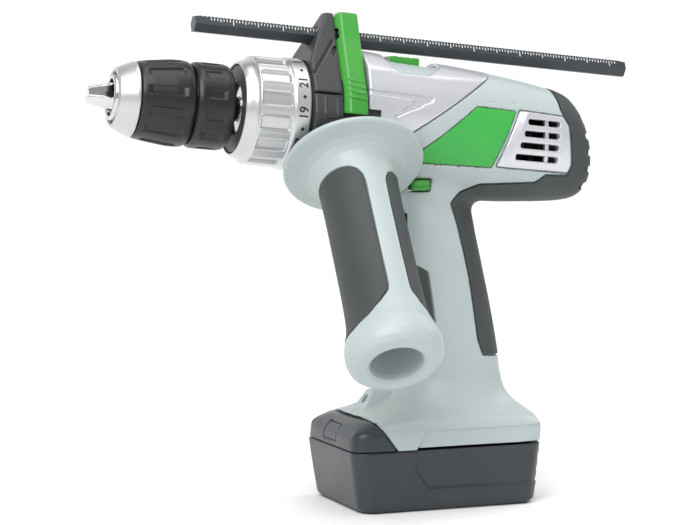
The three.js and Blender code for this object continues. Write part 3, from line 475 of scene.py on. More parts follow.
def divided(profile: Outline, longest: float) -> list[tuple[float, float]]:
    """A closed profile with its longer sides cut into steps of at most longest."""
    out = []
    for (s0, r0), (s1, r1) in zip(profile, list(profile[1:]) + [profile[0]]):
        count = max(1, math.ceil(math.hypot(s1 - s0, r1 - r0) / longest))
        if r0 < 1e-6 and r1 < 1e-6:
            count = 1
        out += [(s0 + (s1 - s0) * k / count, r0 + (r1 - r0) * k / count) for k in range(count)]
    return out


# ---- Finishes ---------------------------------------------------------------------------------


class Grain(Enum):
    """How a finish's fine relief runs."""

    FINE = "even"
    LEATHER = "cells"
    BRUSHED = "round the axis"


@dataclass(frozen=True)
class Finish:
    """A material with its own mottling, wear in its gloss, and fine relief."""

    name: str
    slot: str
    colour: tuple[float, float, float]
    shade: tuple[float, float, float]
    roughness: float
    swing: float = 0.06
    metal: float = 0.0
    coat: float = 0.0
    grain: Grain = Grain.FINE
    grain_mm: float = 0.5
    relief: float = 0.08
    # how strongly painted shade darkens the colour in the grain's hollows
    hollow_shade: float = 0.0

    def build(self) -> bpy.types.Material:
        """Makes the node material.

        Returns:
            The material, made once and then shared.
        """
        made = bpy.data.materials.get(self.name)
        if made is not None:
            return made
        made = bpy.data.materials.new(self.name)
        made.use_nodes = True
        made.diffuse_color = (*self.colour, 1)
        tree = made.node_tree
        nodes, link = tree.nodes, tree.links.new
        shader = nodes["Principled BSDF"]
        shader.inputs["Metallic"].default_value = self.metal
        shader.inputs["Coat Weight"].default_value = self.coat
        shader.inputs["Coat Roughness"].default_value = 0.12
        place = nodes.new("ShaderNodeTexCoord").outputs["Object"]

        broad = self.noise(tree, place, 28.0, 3.0)
        mix = nodes.new("ShaderNodeMix")
        mix.data_type = "RGBA"
        mix.inputs["A"].default_value = (*self.colour, 1)
        mix.inputs["B"].default_value = (*self.shade, 1)
        spread = nodes.new("ShaderNodeMapRange")
        spread.inputs["From Min"].default_value = 0.3
        spread.inputs["From Max"].default_value = 0.7
        link(broad, spread.inputs["Value"])
        link(spread.outputs["Result"], mix.inputs["Factor"])
        base = mix.outputs["Result"]
        fine = self.fine(tree, place)
        # painted shade: the colour is darkened in the grain's hollows
        if self.hollow_shade > 0:
            base = self.with_hollow_shade(tree, base, fine)
        link(base, shader.inputs["Base Color"])

        rough = nodes.new("ShaderNodeMapRange")
        rough.inputs["To Min"].default_value = self.roughness - self.swing
        rough.inputs["To Max"].default_value = self.roughness + self.swing
        link(self.noise(tree, place, 110.0, 4.0), rough.inputs["Value"])
        link(rough.outputs["Result"], shader.inputs["Roughness"])

        bump = nodes.new("ShaderNodeBump")
        bump.inputs["Strength"].default_value = 0.6
        bump.inputs["Distance"].default_value = self.relief * MM
        link(fine, bump.inputs["Height"])
        link(bump.outputs["Normal"], shader.inputs["Normal"])
        return made

    @staticmethod
    def noise(tree: Tree, place: Socket, scale: float, detail: float) -> Socket:
        """A noise pattern's value at a scale in features per metre."""
        pattern = tree.nodes.new("ShaderNodeTexNoise")
        pattern.inputs["Scale"].default_value = scale
        pattern.inputs["Detail"].default_value = detail
        tree.links.new(place, pattern.inputs["Vector"])
        return pattern.outputs["Fac"]

    def fine(self, tree: Tree, place: Socket) -> Socket:
        """The height of the fine relief.

        Args:
            tree: the material's nodes.
            place: object coordinates.

        Returns:
            The socket that carries the height.
        """
        scale = 1 / (self.grain_mm * MM)
        if self.grain is Grain.LEATHER:
            cells = tree.nodes.new("ShaderNodeTexVoronoi")
            cells.inputs["Scale"].default_value = scale
            tree.links.new(place, cells.inputs["Vector"])
            return cells.outputs["Distance"]
        if self.grain is Grain.BRUSHED:
            turn = tree.nodes.new("ShaderNodeMapping")
            turn.inputs["Rotation"].default_value = (0, HEAD_PITCH, 0)
            turn.inputs["Scale"].default_value = (1, 0.03, 0.03)
            tree.links.new(place, turn.inputs["Vector"])
            return self.noise(tree, turn.outputs["Vector"], scale, 3.0)
        return self.noise(tree, place, scale, 2.0)

    def with_hollow_shade(self, tree: Tree, base: Socket, fine: Socket) -> Socket:
        """Paints shade into the colour: darkens it a little in the grain's hollows.

        Args:
            tree: the material's nodes.
            base: the colour so far.
            fine: the grain's height.

        Returns:
            The colour with its painted shade in the grain's hollows.
        """
        darker = tree.nodes.new("ShaderNodeMix")
        darker.data_type = "RGBA"
        darker.blend_type = "MULTIPLY"
        amount = tree.nodes.new("ShaderNodeMapRange")
        amount.inputs["From Min"].default_value = 0.35
        amount.inputs["From Max"].default_value = 0.65
        amount.inputs["To Max"].default_value = self.hollow_shade
        tree.links.new(fine, amount.inputs["Value"])
        tree.links.new(amount.outputs["Result"], darker.inputs["Factor"])
        tree.links.new(base, darker.inputs["A"])
        # the dark colour of the painted shade in the grain's hollows
        darker.inputs["B"].default_value = (0.35, 0.36, 0.38, 1)
        return darker.outputs["Result"]


PALE = Finish(
    "pale moulding", "pale_plastic", (0.415, 0.480, 0.475), (0.395, 0.460, 0.457),
    0.42, relief=0.04, coat=0.1,
)
# the silver paint gets painted shade in its grain's hollows
SILVER = Finish(
    "silver paint", "silver_paint", (0.66, 0.665, 0.70), (0.61, 0.615, 0.65),
    0.30, metal=0.45, grain_mm=0.25, relief=0.02, coat=0.25, hollow_shade=0.12,
)
GREEN = Finish(
    "green moulding", "green_plastic", (0.040, 0.31, 0.030), (0.032, 0.27, 0.028),
    0.34, relief=0.03, coat=0.2,
)
LABEL = Finish(
    "green print", "green_plastic", (0.030, 0.36, 0.060), (0.050, 0.40, 0.055),
    0.40, relief=0.015,
)
SOFT = Finish(
    "soft overmould", "soft_rubber", (0.042, 0.050, 0.051), (0.036, 0.043, 0.044),
    0.60, grain=Grain.LEATHER, grain_mm=0.7, relief=0.09,
)
DARK = Finish(
    "dark moulding", "dark_plastic", (0.038, 0.041, 0.044), (0.032, 0.035, 0.037),
    0.42, relief=0.05,
)
BLACK = Finish(
    "black moulding", "black_plastic", (0.007, 0.007, 0.008), (0.010, 0.010, 0.011),
    0.36, relief=0.03,
)
CHARCOAL = Finish(
    "battery moulding", "battery_plastic", (0.028, 0.036, 0.042), (0.024, 0.031, 0.036),
    0.36, grain=Grain.LEATHER, grain_mm=0.5, relief=0.05,
)
STEEL = Finish(
    "bright steel", "steel", (0.72, 0.72, 0.73), (0.62, 0.62, 0.64),
    0.14, 0.05, metal=1.0, grain=Grain.BRUSHED, grain_mm=0.3, relief=0.01,
)
SATIN = Finish(
    "satin alloy", "satin_alloy", (0.62, 0.63, 0.64), (0.56, 0.57, 0.58),
    0.34, metal=0.9, grain=Grain.BRUSHED, grain_mm=0.35, relief=0.02,
)
SILVER_RING = Finish(
    "satin silver ring", "silver_plastic", (0.60, 0.61, 0.62), (0.55, 0.56, 0.57),
    0.30, metal=0.75, grain=Grain.BRUSHED, grain_mm=0.35, relief=0.015,
)
COPPER = Finish(
    "copper winding", "copper", (0.70, 0.30, 0.14), (0.45, 0.18, 0.09),
    0.35, metal=1.0, grain=Grain.BRUSHED, grain_mm=0.5, relief=0.05,
)
LENS = Finish(
    "lamp lens", "clear_lens", (0.10, 0.11, 0.12), (0.07, 0.08, 0.09),
    0.12, relief=0.01, coat=0.6,
)
INK = Finish("black print", "black_plastic", (0.008, 0.008, 0.009), (0.012, 0.012, 0.012), 0.5, relief=0.01)
WHITE_INK = Finish("white print", "pale_plastic", (0.72, 0.73, 0.74), (0.62, 0.63, 0.64), 0.5, relief=0.01)


@dataclass(frozen=True)
class Piece:
    """One visible piece: its name, finish, body and the frame nodes it stands for."""

    name: str
    finish: Finish
    body: str
    replaces: tuple[str, ...] = ()
    sharp: float = 38.0

    def make(self, surface: Surface) -> bpy.types.Object:
        """Makes the object from a surface in mm and hooks it to the frame.

        Args:
            surface: the piece in the drill's own frame.

        Returns:
            The finished object.
        """
        mesh = bpy.data.meshes.new(self.name)
        mesh.from_pydata((surface.points * MM).tolist(), [], surface.faces)
        mesh.validate()
        mesh.shade_smooth()
        mesh.set_sharp_from_angle(angle=math.radians(self.sharp))
        mesh.materials.append(self.finish.build())
        made = bpy.data.objects.new(self.name, mesh)
        bpy.context.scene.collection.objects.link(made)
        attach(made, self.body)
        if self.replaces:
            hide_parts(*self.replaces)
        log.info("%s: %d faces", self.name, len(surface.faces))
        return made


# ---- Housing ----------------------------------------------------------------------------------


@dataclass
class Housing:
    """The moulded halves with their cover, panels, grilles and soft overmould."""

    barrel_half: float = 27.6
    foot_half: float = 37.8
    grip_half: float = 18.6
    fillet: float = 8.0
    tail: float = -89.2
    front: float = 38.0
    shoulder: float = 30.9
    neck_room: float = 26.7
    raised: float = 0.45

    cover: Outline = ((50, 40), (-33, 40), (-31, 28), (37.2, -22), (50, -22))
    panel: Outline = ((-41.5, 10.8), (-20, 11.2), (6, -12), (11.5, -19), (-30.4, -18.2))
    vent: Outline = ((-43.3, 11.6), (-68, 10.6), (-71.6, 6), (-74.6, -13.5), (-73.4, -17.6), (-32.4, -17.8))
    soft: Outline = (
        (-66, 230), (-68.2, 196), (-70, 191.6), (-72.3, 188), (-73.6, 168), (-71.4, 163), (-59, 163.6),
        (-54, 159.8), (-24.6, 159.4), (-16.3, 155.6), (-11.4, 150), (-12.2, 145.7), (-19, 114),
        (-23.6, 81), (-26.2, 73.4), (-60, 71), (-120, 71), (-120, 230),
    )
    inlay: Outline = ((40, 119), (7, 119), (2.4, 116), (-2, 84), (-1.4, 82), (40, 82))
    cap: Outline = ((27.5, 20), (27.5, 30.5), (37.8, 44.8), (80, 44.8), (80, 20))
    recess: Outline = ((25.6, 30), (20.6, 24.1), (5.2, 24.1), (-4.4, 30), (-4.4, 60), (25.6, 60))
    arrow: Outline = (
        (40, 14.4), (5.4, 13.8), (3.6, 12.6), (4.6, 11.2), (23.0, 1.6), (24.6, 2.8),
        (13.4, 11.4), (40, 12.4),
    )
    foot_recess: Outline = ((-80, 39.4), (11.6, 39.6), (17.5, 30.6), (18.5, 21), (11.2, 11), (-80, 10.6))
    slot_heights: tuple[float, ...] = (6.1, 0.1, -5.8, -11.8)
    slot_fronts: tuple[float, ...] = (-48, -46.2, -44.4, -42.4)
    slot_rear: float = -66.0
    rib_pitch: float = 8.3

    def __post_init__(self) -> None:
        """Prepares the barrel and the grip."""
        b, f, g = self.barrel_half, self.foot_half, self.grip_half
        self.barrel = Lofted([
            (self.tail, -20, -7, 0.38 * b, 2.1), (-88.2, -25, -1, 0.58 * b, 2.2),
            (-85.5, -28.5, 8, 0.74 * b, 2.3), (-81, -30.3, 16.5, 0.82 * b, 2.4),
            (-74, -31.6, 22.8, 0.87 * b, 2.4), (-60, -33, 26.2, 0.94 * b, 2.4),
            (-35, -34.5, 29.4, 0.98 * b, 2.3), (-10, -31, 31.4, b, 2.2), (8, -25.5, 32.3, b, 2.05),
            (20, -24.6, 32.8, b, 2.05), (self.shoulder, -24.2, 33.9, b, 2.05),
            (self.front, -24.0, 34.3, b, 2.05),
        ])
        self.grip = Lofted([
            (30.5, -52, 50, f, 11), (38, -53, 49.5, f, 9), (43, -52.5, 44, 0.95 * f, 5.5),
            (47, -50, 36, 0.83 * f, 3.2), (51, -46, 27, 0.71 * f, 2.6), (56, -43, 18, 0.62 * f, 2.4),
            (63, -41.3, 11.5, 1.1 * g, 2.3), (72, -40, 9.5, 1.05 * g, 2.3), (85, -38, 9.5, g, 2.3),
            (100, -35.2, 11.5, g, 2.3), (120, -31, 13.5, 0.97 * g, 2.3), (138, -27.5, 12, 0.89 * g, 2.2),
            (150, -26, 13, 0.73 * g, 2.2), (160, -26, 15, 0.68 * g, 2.2), (172, -24, 16, 0.86 * g, 2.2),
        ])

    def form(self, x: Array, y: Array, z: Array) -> Array:
        """The distance to the whole outer form."""
        s, u = to_head(x, z)
        barrel = self.barrel.distance(s, u, y)
        barrel = both(both(barrel, s - self.front, 1.2), self.tail - s, 1.5)
        barrel = without(barrel, both(self.shoulder - s, u - 5), 0.8)
        barrel = without(barrel, both(np.hypot(y, u) - self.neck_room, self.shoulder - s), 0.3)
        grip = both(self.grip.distance(z, x, y), z - 172)
        return both(joined(barrel, grip, self.fillet), 30.5 - z, 0.6)

    def on_cover(self, x: Array, z: Array) -> Array:
        """The distance to the cover's outline."""
        return rounded(self.cover, 2.0, *to_head(x, z))

    def on_panel(self, x: Array, z: Array) -> Array:
        """The distance to the coloured side panel's outline."""
        return rounded(self.panel, 0.8, *to_head(x, z))

    def on_vent(self, x: Array, z: Array) -> Array:
        """The distance to the grille's outline."""
        return rounded(self.vent, 1.2, *to_head(x, z))

    def on_soft(self, x: Array, z: Array) -> Array:
        """The distance to the overmould's outline."""
        return rounded(self.soft, 1.0, x, z)

    def on_inlay(self, x: Array, z: Array) -> Array:
        """The distance to the front inlay's outline."""
        return rounded(self.inlay, 1.5, x, z)

    def slots(self, x: Array, z: Array) -> Array:
        """The distance to the cooling slots' outlines."""
        s, u = to_head(x, z)
        nearest = np.full(np.shape(x), 1e3)
        for height, front in zip(self.slot_heights, self.slot_fronts):
            long = np.abs(s - (front + self.slot_rear) / 2) - (front - self.slot_rear) / 2 + 1.1
            tall = np.abs(u - height) - 0.35
            ring = np.hypot(np.maximum(long, 0), np.maximum(tall, 0))
            nearest = np.minimum(nearest, ring + np.minimum(np.maximum(long, tall), 0) - 1.1)
        return nearest

    def cavity(self, x: Array, y: Array, z: Array, form: Array) -> Array:
        """The hollow behind the grilles, which the motor sits in."""
        s, u = to_head(x, z)
        room = both(np.abs(s + 58) - 20, np.abs(u + 3) - 17)
        return both(room, form + 3.6)

    def selector_way(self, x: Array, y: Array, z: Array) -> Array:
        """The slot in the top that the gear selector slides in."""
        s, u = to_head(x, z)
        return block(s, y, u, (-2.4, -6.9, 26), (20.4, 6.9, 60), 0.6)

    def top_recess(self, x: Array, y: Array, z: Array) -> Array:
        """The sloping recess in the cover on both sides of the selector."""
        s, u = to_head(x, z)
        return rounded(self.recess, 1.2, s, u)

    def shell(self, x: Array, y: Array, z: Array) -> Array:
        """The left half of the pale moulding."""
        form = self.form(x, y, z)
        body = form
        pockets = (
            (self.on_cover(x, z), 1.7), (self.on_soft(x, z), 1.7), (self.on_inlay(x, z), 1.4),
            (both(self.on_panel(x, z), 12 - y), 1.6), (both(self.on_vent(x, z), 12 - y), 1.6),
        )
        for region, depth in pockets:
            body = without(body, both(region - GAP, -(form + depth)), 0.45)
        s, u = to_head(x, z)
        foot = both(rounded(self.foot_recess, 1.0, x, z), 30 - y)
        body = without(body, both(foot, -(form + 0.9)), 0.35)
        seam = stroke((-20.5, 13.8), (-43.0, 14.6), s, u) - 0.25
        body = without(body, both(both(seam, -(form + 0.3)), 12 - y), 0.15)
        body = without(body, both(self.slots(x, z), -both(form + 4, 12 - y)))
        body = without(body, self.cavity(x, y, z, form))
        body = without(body, rounded(self.cap, 0.8, x, z) - GAP, 0.5)
        body = without(body, block(x, y, z, (-47, -30.4, 20), (90, 30.4, 43.5), 0.8))
        body = without(body, block(x, y, z, (4.2, -7.4, 121.6), (60, 7.4, 145.4), 1.0), 0.5)
        body = without(body, block(x, y, z, (-0.8, -40, 155.9), (9.4, 40, 162.7), 1.0), 0.5)
        body = without(body, self.selector_way(x, y, z), 0.3)
        body = without(body, np.hypot(y, u) - MOTOR_ROOM + np.where(s > 5, 0, 60))
        return both(body, 0.06 - y)

    def cover_plate(self, x: Array, y: Array, z: Array) -> Array:
        """The silver cover with its chevron groove and top recess."""
        form = self.form(x, y, z)
        s, u = to_head(x, z)
        ridge = 0.55 * np.exp(-(((u - 23.5 - 0.05 * np.abs(s)) / 2.6) ** 2))
        body = both(form - self.raised - ridge, -(form + 1.5))
        body = both(body, self.on_cover(x, z) + GAP, 1.0)
        body = both(body, s - self.front + 0.3, 0.8)
        body = without(body, both(np.hypot(y, u) - self.neck_room, self.shoulder - 0.3 - s))
        chevron = rounded(self.arrow, 0.4, s, u)
        body = without(body, both(chevron, -(form + 0.35), 0.3), 0.5)
        body = without(body, self.top_recess(x, y, z), 0.6)
        body = without(body, self.selector_way(x, y, z), 0.5)
        return without(body, np.hypot(y, u) - MOTOR_ROOM)

    def overmould(self, x: Array, y: Array, z: Array) -> Array:
        """The soft layer over the tail, under it and down the grip's rear, ribbed at the tail."""
        form = self.form(x, y, z)
        s, u = to_head(x, z)
        wave = np.abs(((u + 27.0) % self.rib_pitch) - self.rib_pitch / 2)
        groove = np.clip((1.9 - wave) / 0.8, 0, 1)
        window = np.clip((-81.5 - s) / 1.5, 0, 1) * np.clip((u + 28) / 2, 0, 1) * np.clip((20 - u) / 3, 0, 1)
        outer = form - 0.35 + 1.0 * groove * window
        body = both(outer, -(form + 1.5))
        return both(body, self.on_soft(x, z) + GAP, 1.2)

    def front_inlay(self, x: Array, y: Array, z: Array) -> Array:
        """The soft inlay on the front of the grip."""
        form = self.form(x, y, z)
        body = both(form - 0.25, -(form + 1.3))
        return both(body, self.on_inlay(x, z) + GAP, 0.9)

    def side_panel(self, x: Array, y: Array, z: Array) -> Array:
        """The left coloured panel."""
        form = self.form(x, y, z)
        body = both(both(form - 0.05, -(form + 1.5)), 12 - y)
        return both(body, self.on_panel(x, z) + 0.15, 0.35)

    def grille(self, x: Array, y: Array, z: Array) -> Array:
        """The left silver grille with its sloping front edge, slots and inner rib."""
        form = self.form(x, y, z)
        s, u = to_head(x, z)
        ex, ey = -43.3 + 32.4, 11.6 + 17.8
        length = math.hypot(ex, ey)
        inward = -((s + 43.3) * ey - (u - 11.6) * ex) / length
        lift = -0.9 + 1.5 * np.clip(inward / 4.4, 0, 1)
        plate = both(form - lift, -(form + 1.4), 0.4)
        plate = both(plate, self.on_vent(x, z) + GAP, 0.9)
        plate = without(plate, self.slots(x, z) - 0.05, 0.7)
        upright = both(np.abs(s + 59.4 - 0.06 * u) - 1.1, np.abs(u + 3) - 13.5)
        rib = both(upright, np.abs(form + 2.4) - 1.2, 0.4)
        return both(joined(plate, rib), 12 - y)

    def turret(self, x: Array, y: Array, z: Array) -> Array:
        """The lamp turret, a wedge that grows out of the foot."""
        front = (x - 28.6) * 0.843 + (z - 56.2) * 0.538
        sides = (np.abs(y) - 4.6 - (56.7 - z) * 0.36) * 0.94
        top = (z - 57.0) * 0.97 + (x - 26) * -0.10
        body = both(both(front, sides, 0.9), top, 0.9)
        body = both(both(body, 4 - x), 44.2 - z)
        along = (x - 30.6) * 0.8387 + (z - 52.4) * 0.5446
        across = np.hypot(y, -(x - 30.6) * 0.5446 + (z - 52.4) * 0.8387)
        return without(body, both(across - 2.5, -along - 5), 0.4)

    def build(self) -> None:
        """Makes every housing piece."""
        half = Sampler((-93, -1.2, 28), (56, 40, 226), 0.8).mesh(self.shell)
        Piece("shell_left", PALE, "drill_body", ("housing_left",)).make(half)
        Piece("shell_right", PALE, "drill_body", ("housing_right",)).make(half.mirrored())
        cover = Sampler((-38, -31, -26), (40, 31, 38), 0.6).mesh(self.in_head(self.cover_plate))
        Piece("silver_cover", SILVER, "drill_body", ("top_cover",)).make(cover.placed(HEAD))
        soft = Sampler((-93, -30, 68), (0, 30, 218), 0.8).mesh(self.overmould)
        Piece("soft_overmould", SOFT, "drill_body", ("rear_overmould",)).make(soft)
        inlay = Sampler((-4, -20, 80), (16, 20, 121), 0.6).mesh(self.front_inlay)
        Piece("front_soft_inlay", SOFT, "drill_body", ("grip_front_inlay",)).make(inlay)
        panel = Sampler((-44, 10, -22), (14, 31, 14), 0.6).mesh(self.in_head(self.side_panel)).placed(HEAD)
        Piece("green_panel_left", LABEL, "drill_body", ("side_panel_left",)).make(panel)
        Piece("green_panel_right", LABEL, "drill_body", ("side_panel_right",)).make(panel.mirrored())
        grille = Sampler((-78, 10, -20), (-30, 31, 14), 0.45).mesh(self.in_head(self.grille)).placed(HEAD)
        Piece("silver_grille_left", SILVER, "drill_body", ("vent_grille_left",)).make(grille)
        Piece("silver_grille_right", SILVER, "drill_body", ("vent_grille_right",)).make(grille.mirrored())
        turret = Sampler((2, -13, 43), (38, 13, 60), 0.5).mesh(self.turret)
        Piece("lamp_turret", PALE, "drill_body", ("lamp_housing",)).make(turret)
        lamp = eased([(-2.6, 0), (-0.5, 0), (-0.9, 1.5), (-1.6, 2.2), (-2.6, 2.2)], 0.6)
        place = Matrix.Translation((30.6, 0, 52.4)) @ Matrix.Rotation(-math.radians(33), 4, "Y")
        Piece("lamp_dome", LENS, "drill_body", ("lamp_lens",)).make(revolved(lamp, 40).placed(place))

    @staticmethod
    def in_head(distance: Distance) -> Distance:
        """A solid of the drill's own frame read in the head's own axes."""

        def moved(s: Array, y: Array, u: Array) -> Array:
            """Reads the solid at a station, side and height of the head."""
            x = s * PITCH_COS - u * PITCH_SIN
            return distance(x, y, HEAD_HEIGHT + s * PITCH_SIN + u * PITCH_COS)

        return moved


# ---- Controls ---------------------------------------------------------------------------------


@dataclass
class Controls:
    """The trigger, the direction button and the gear selector."""

    trigger_half: float = 7.0
    face: Outline = (
        (10.6, 145), (17.5, 145), (19, 141), (18.6, 136), (20.4, 129), (23.4, 124.4), (21, 122), (10.6, 122),
    )

    def trigger(self, x: Array, y: Array, z: Array) -> Array:
        """The trigger's finger piece on its stem."""
        hollow = 0.02 * y * y
        body = both(rounded(self.face, 1.2, x + hollow, z), np.abs(y) - self.trigger_half, 2.0)
        stem = both(np.hypot(y, z - 134) - 2.2, np.abs(x - 4) - 8)
        return joined(body, stem)

    def button(self, x: Array, y: Array, z: Array) -> Array:
        """The direction button, which shows on both sides of the grip."""
        body = block(x, y, z, (0, -14.6, 156.6), (8.6, 14.6, 162), 1.2)
        groove = np.hypot(z - 159.3, np.abs(y) - 15.6) - 1.7
        return without(body, groove, 0.5)

    def selector(self, s: Array, y: Array, u: Array) -> Array:
        """The gear selector with its finger ridges."""
        body = block(s, y, u, (5, -6.5, 27), (20, 6.5, 33.4), 1.0)
        wave = np.abs(((s - 5) % 3.0) - 1.5)
        dip = both(wave - 0.7, np.abs(s - 12.5) - 5.2)
        return without(body, both(dip, 32.6 - u), 0.5)

    def build(self) -> None:
        """Makes the three controls."""
        trigger = Sampler((-5, -8, 120), (25, 8, 147), 0.6).mesh(self.trigger)
        Piece("trigger_blade", BLACK, "trigger_piece", ("trigger",)).make(trigger)
        button = Sampler((-1, -16, 155), (10, 16, 164), 0.4).mesh(self.button)
        Piece("direction_key", GREEN, "direction", ("direction_button",)).make(button)
        selector = Sampler((4, -8, 26), (21, 8, 35), 0.35).mesh(self.selector)
        Piece("selector_slider", GREEN, "selector", ("gear_selector",)).make(selector.placed(HEAD))


# ---- Chuck ------------------------------------------------------------------------------------


@dataclass
class Chuck:
    """The keyless chuck: two fluted sleeves, a bright nose and three jaws."""

    rear: float = 102.0
    split: float = 121.4
    line: float = 148.5
    front: float = 158.6
    radius: float = 21.0
    flutes: int = 12

    def flute(self, low: float, high: float, depth: float) -> Callable[[Array, Array, Array], Array]:
        """How the flutes change a sleeve's radius.

        Args:
            low: station where they start.
            high: station where they end.
            depth: their depth in mm.

        Returns:
            The radius by station, radius and angle.
        """

        def shaped(s: Array, r: Array, angle: Array) -> Array:
            """The radius with its flutes."""
            turn = (angle * self.flutes / (2 * math.pi)) % 1.0
            rise = np.clip((np.abs(turn - 0.5) - 0.17) / 0.07, 0, 1)
            rise = rise * rise * (3 - 2 * rise)
            ends = np.clip((s - low) / 2.5, 0, 1) * np.clip((high - s) / 2.5, 0, 1)
            ends = ends * ends * (3 - 2 * ends)
            outer = np.clip((r - 18.0) / 0.5, 0, 1)
            return r - depth * (1 - rise) * ends * outer

        return shaped

    def jaw(self, s: Array, y: Array, u: Array) -> Array:
        """The upper jaw: a bar on an inclined line with a third of a blunt cone at its tip."""
        angle = math.radians(14)
        along = (s - 171.2) * math.cos(angle) - (u - 0.8) * math.sin(angle)
        across = (s - 171.2) * math.sin(angle) + (u - 0.8) * math.cos(angle)
        bar = both(np.hypot(y, across) - 2.6, np.abs(along + 13) - 17, 0.3)
        cone = np.hypot(y, u) - 4.3 - (171.2 - s) * 0.24
        head = both(both(cone, 155.5 - s), s - 170.7, 0.8)
        body = joined(bar, head, 1.0)
        face = (np.abs(y) * 0.5 * math.sqrt(3) - u * 0.5) + 0.22
        return both(both(body, face, 0.3), s - 170.7)

    def build(self) -> None:
        """Makes the chuck's pieces."""
        core = [
            (self.rear + 1, 6.3), (self.rear + 11, 6.3), (self.rear + 11, 0), (self.line - 14, 0),
            (self.line - 14, 8.4),
            (self.line + 10.8, 9.0), (self.line + 11.4, 9.4), (self.line + 10.8, 10.8),
            (self.line + 8.6, 11.2),
            (self.line + 8.2, 12.0), (self.line, 12.6), (self.rear + 20, 16.6), (self.rear + 4, 16.6),
            (self.rear + 4, 12), (self.rear + 1, 12),
        ]
        turned = revolved(eased(core, 0.5), 96).placed(HEAD)
        Piece("chuck_core", STEEL, "spindle", ("chuck_body",)).make(turned)
        r = self.radius
        rear = [
            (self.rear, 12.8), (self.rear + 3, 12.8), (self.rear + 3, 17.8),
            (self.split - 0.4, 17.8),
            (self.split - 0.4, r - 1.2), (self.split - 2.2, r - 0.1), (self.split - 4.5, r),
            (self.rear + 3.4, r),
            (self.rear + 1, r - 0.7), (self.rear, r - 2.2),
        ]
        flutes = self.flute(self.rear + 4.5, self.split - 3.5, 0.65)
        sleeve = revolved(divided(eased(rear, 0.6), 0.7), 288, flutes)
        Piece("rear_sleeve", BLACK, "spindle", ("chuck_rear_sleeve",)).make(sleeve.placed(HEAD))
        front = [
            (self.split + 0.4, 17.4), (self.split + 12, 17.4), (self.split + 14, 16),
            (self.line - 0.3, 16),
            (self.line - 0.3, 17.9), (self.line - 1.2, 18.6), (self.line - 6, 19.5),
            (self.split + 10, r - 0.1),
            (self.split + 5, r), (self.split + 2.2, r - 0.3), (self.split + 0.9, r - 1.2),
            (self.split + 0.4, r - 2.0),
        ]
        flutes = self.flute(self.split + 4.5, self.line - 3.0, 0.95)
        sleeve = revolved(divided(eased(front, 0.7), 0.7), 288, flutes)
        Piece("front_sleeve", BLACK, "chuck_sleeve", ("chuck_front_sleeve",)).make(sleeve.placed(HEAD))
        nose = [
            (self.line + 0.1, 13.4), (self.front - 2.5, 12.4), (self.front - 0.2, 12.6), (self.front, 13.4),
            (self.front - 0.6, 14.5), (self.front - 3, 15.7), (self.line + 1.6, 18.1),
            (self.line + 0.1, 18.3),
        ]
        turned = revolved(eased(nose, 0.7), 128).placed(HEAD)
        Piece("nose_cone", SATIN, "chuck_sleeve", ("chuck_nose_ring",)).make(turned)
        jaw = Sampler((138, -10, -1), (173, 10, 14), 0.4).mesh(self.jaw)
        for i in range(3):
            turn = HEAD @ Matrix.Rotation(i * 2 * math.pi / 3, 4, "X")
            made = Piece(f"gripping_jaw_{i + 1}", STEEL, f"chuck_jaw_{i + 1}", (f"jaw_{i + 1}",))
            made.make(jaw.placed(turn))


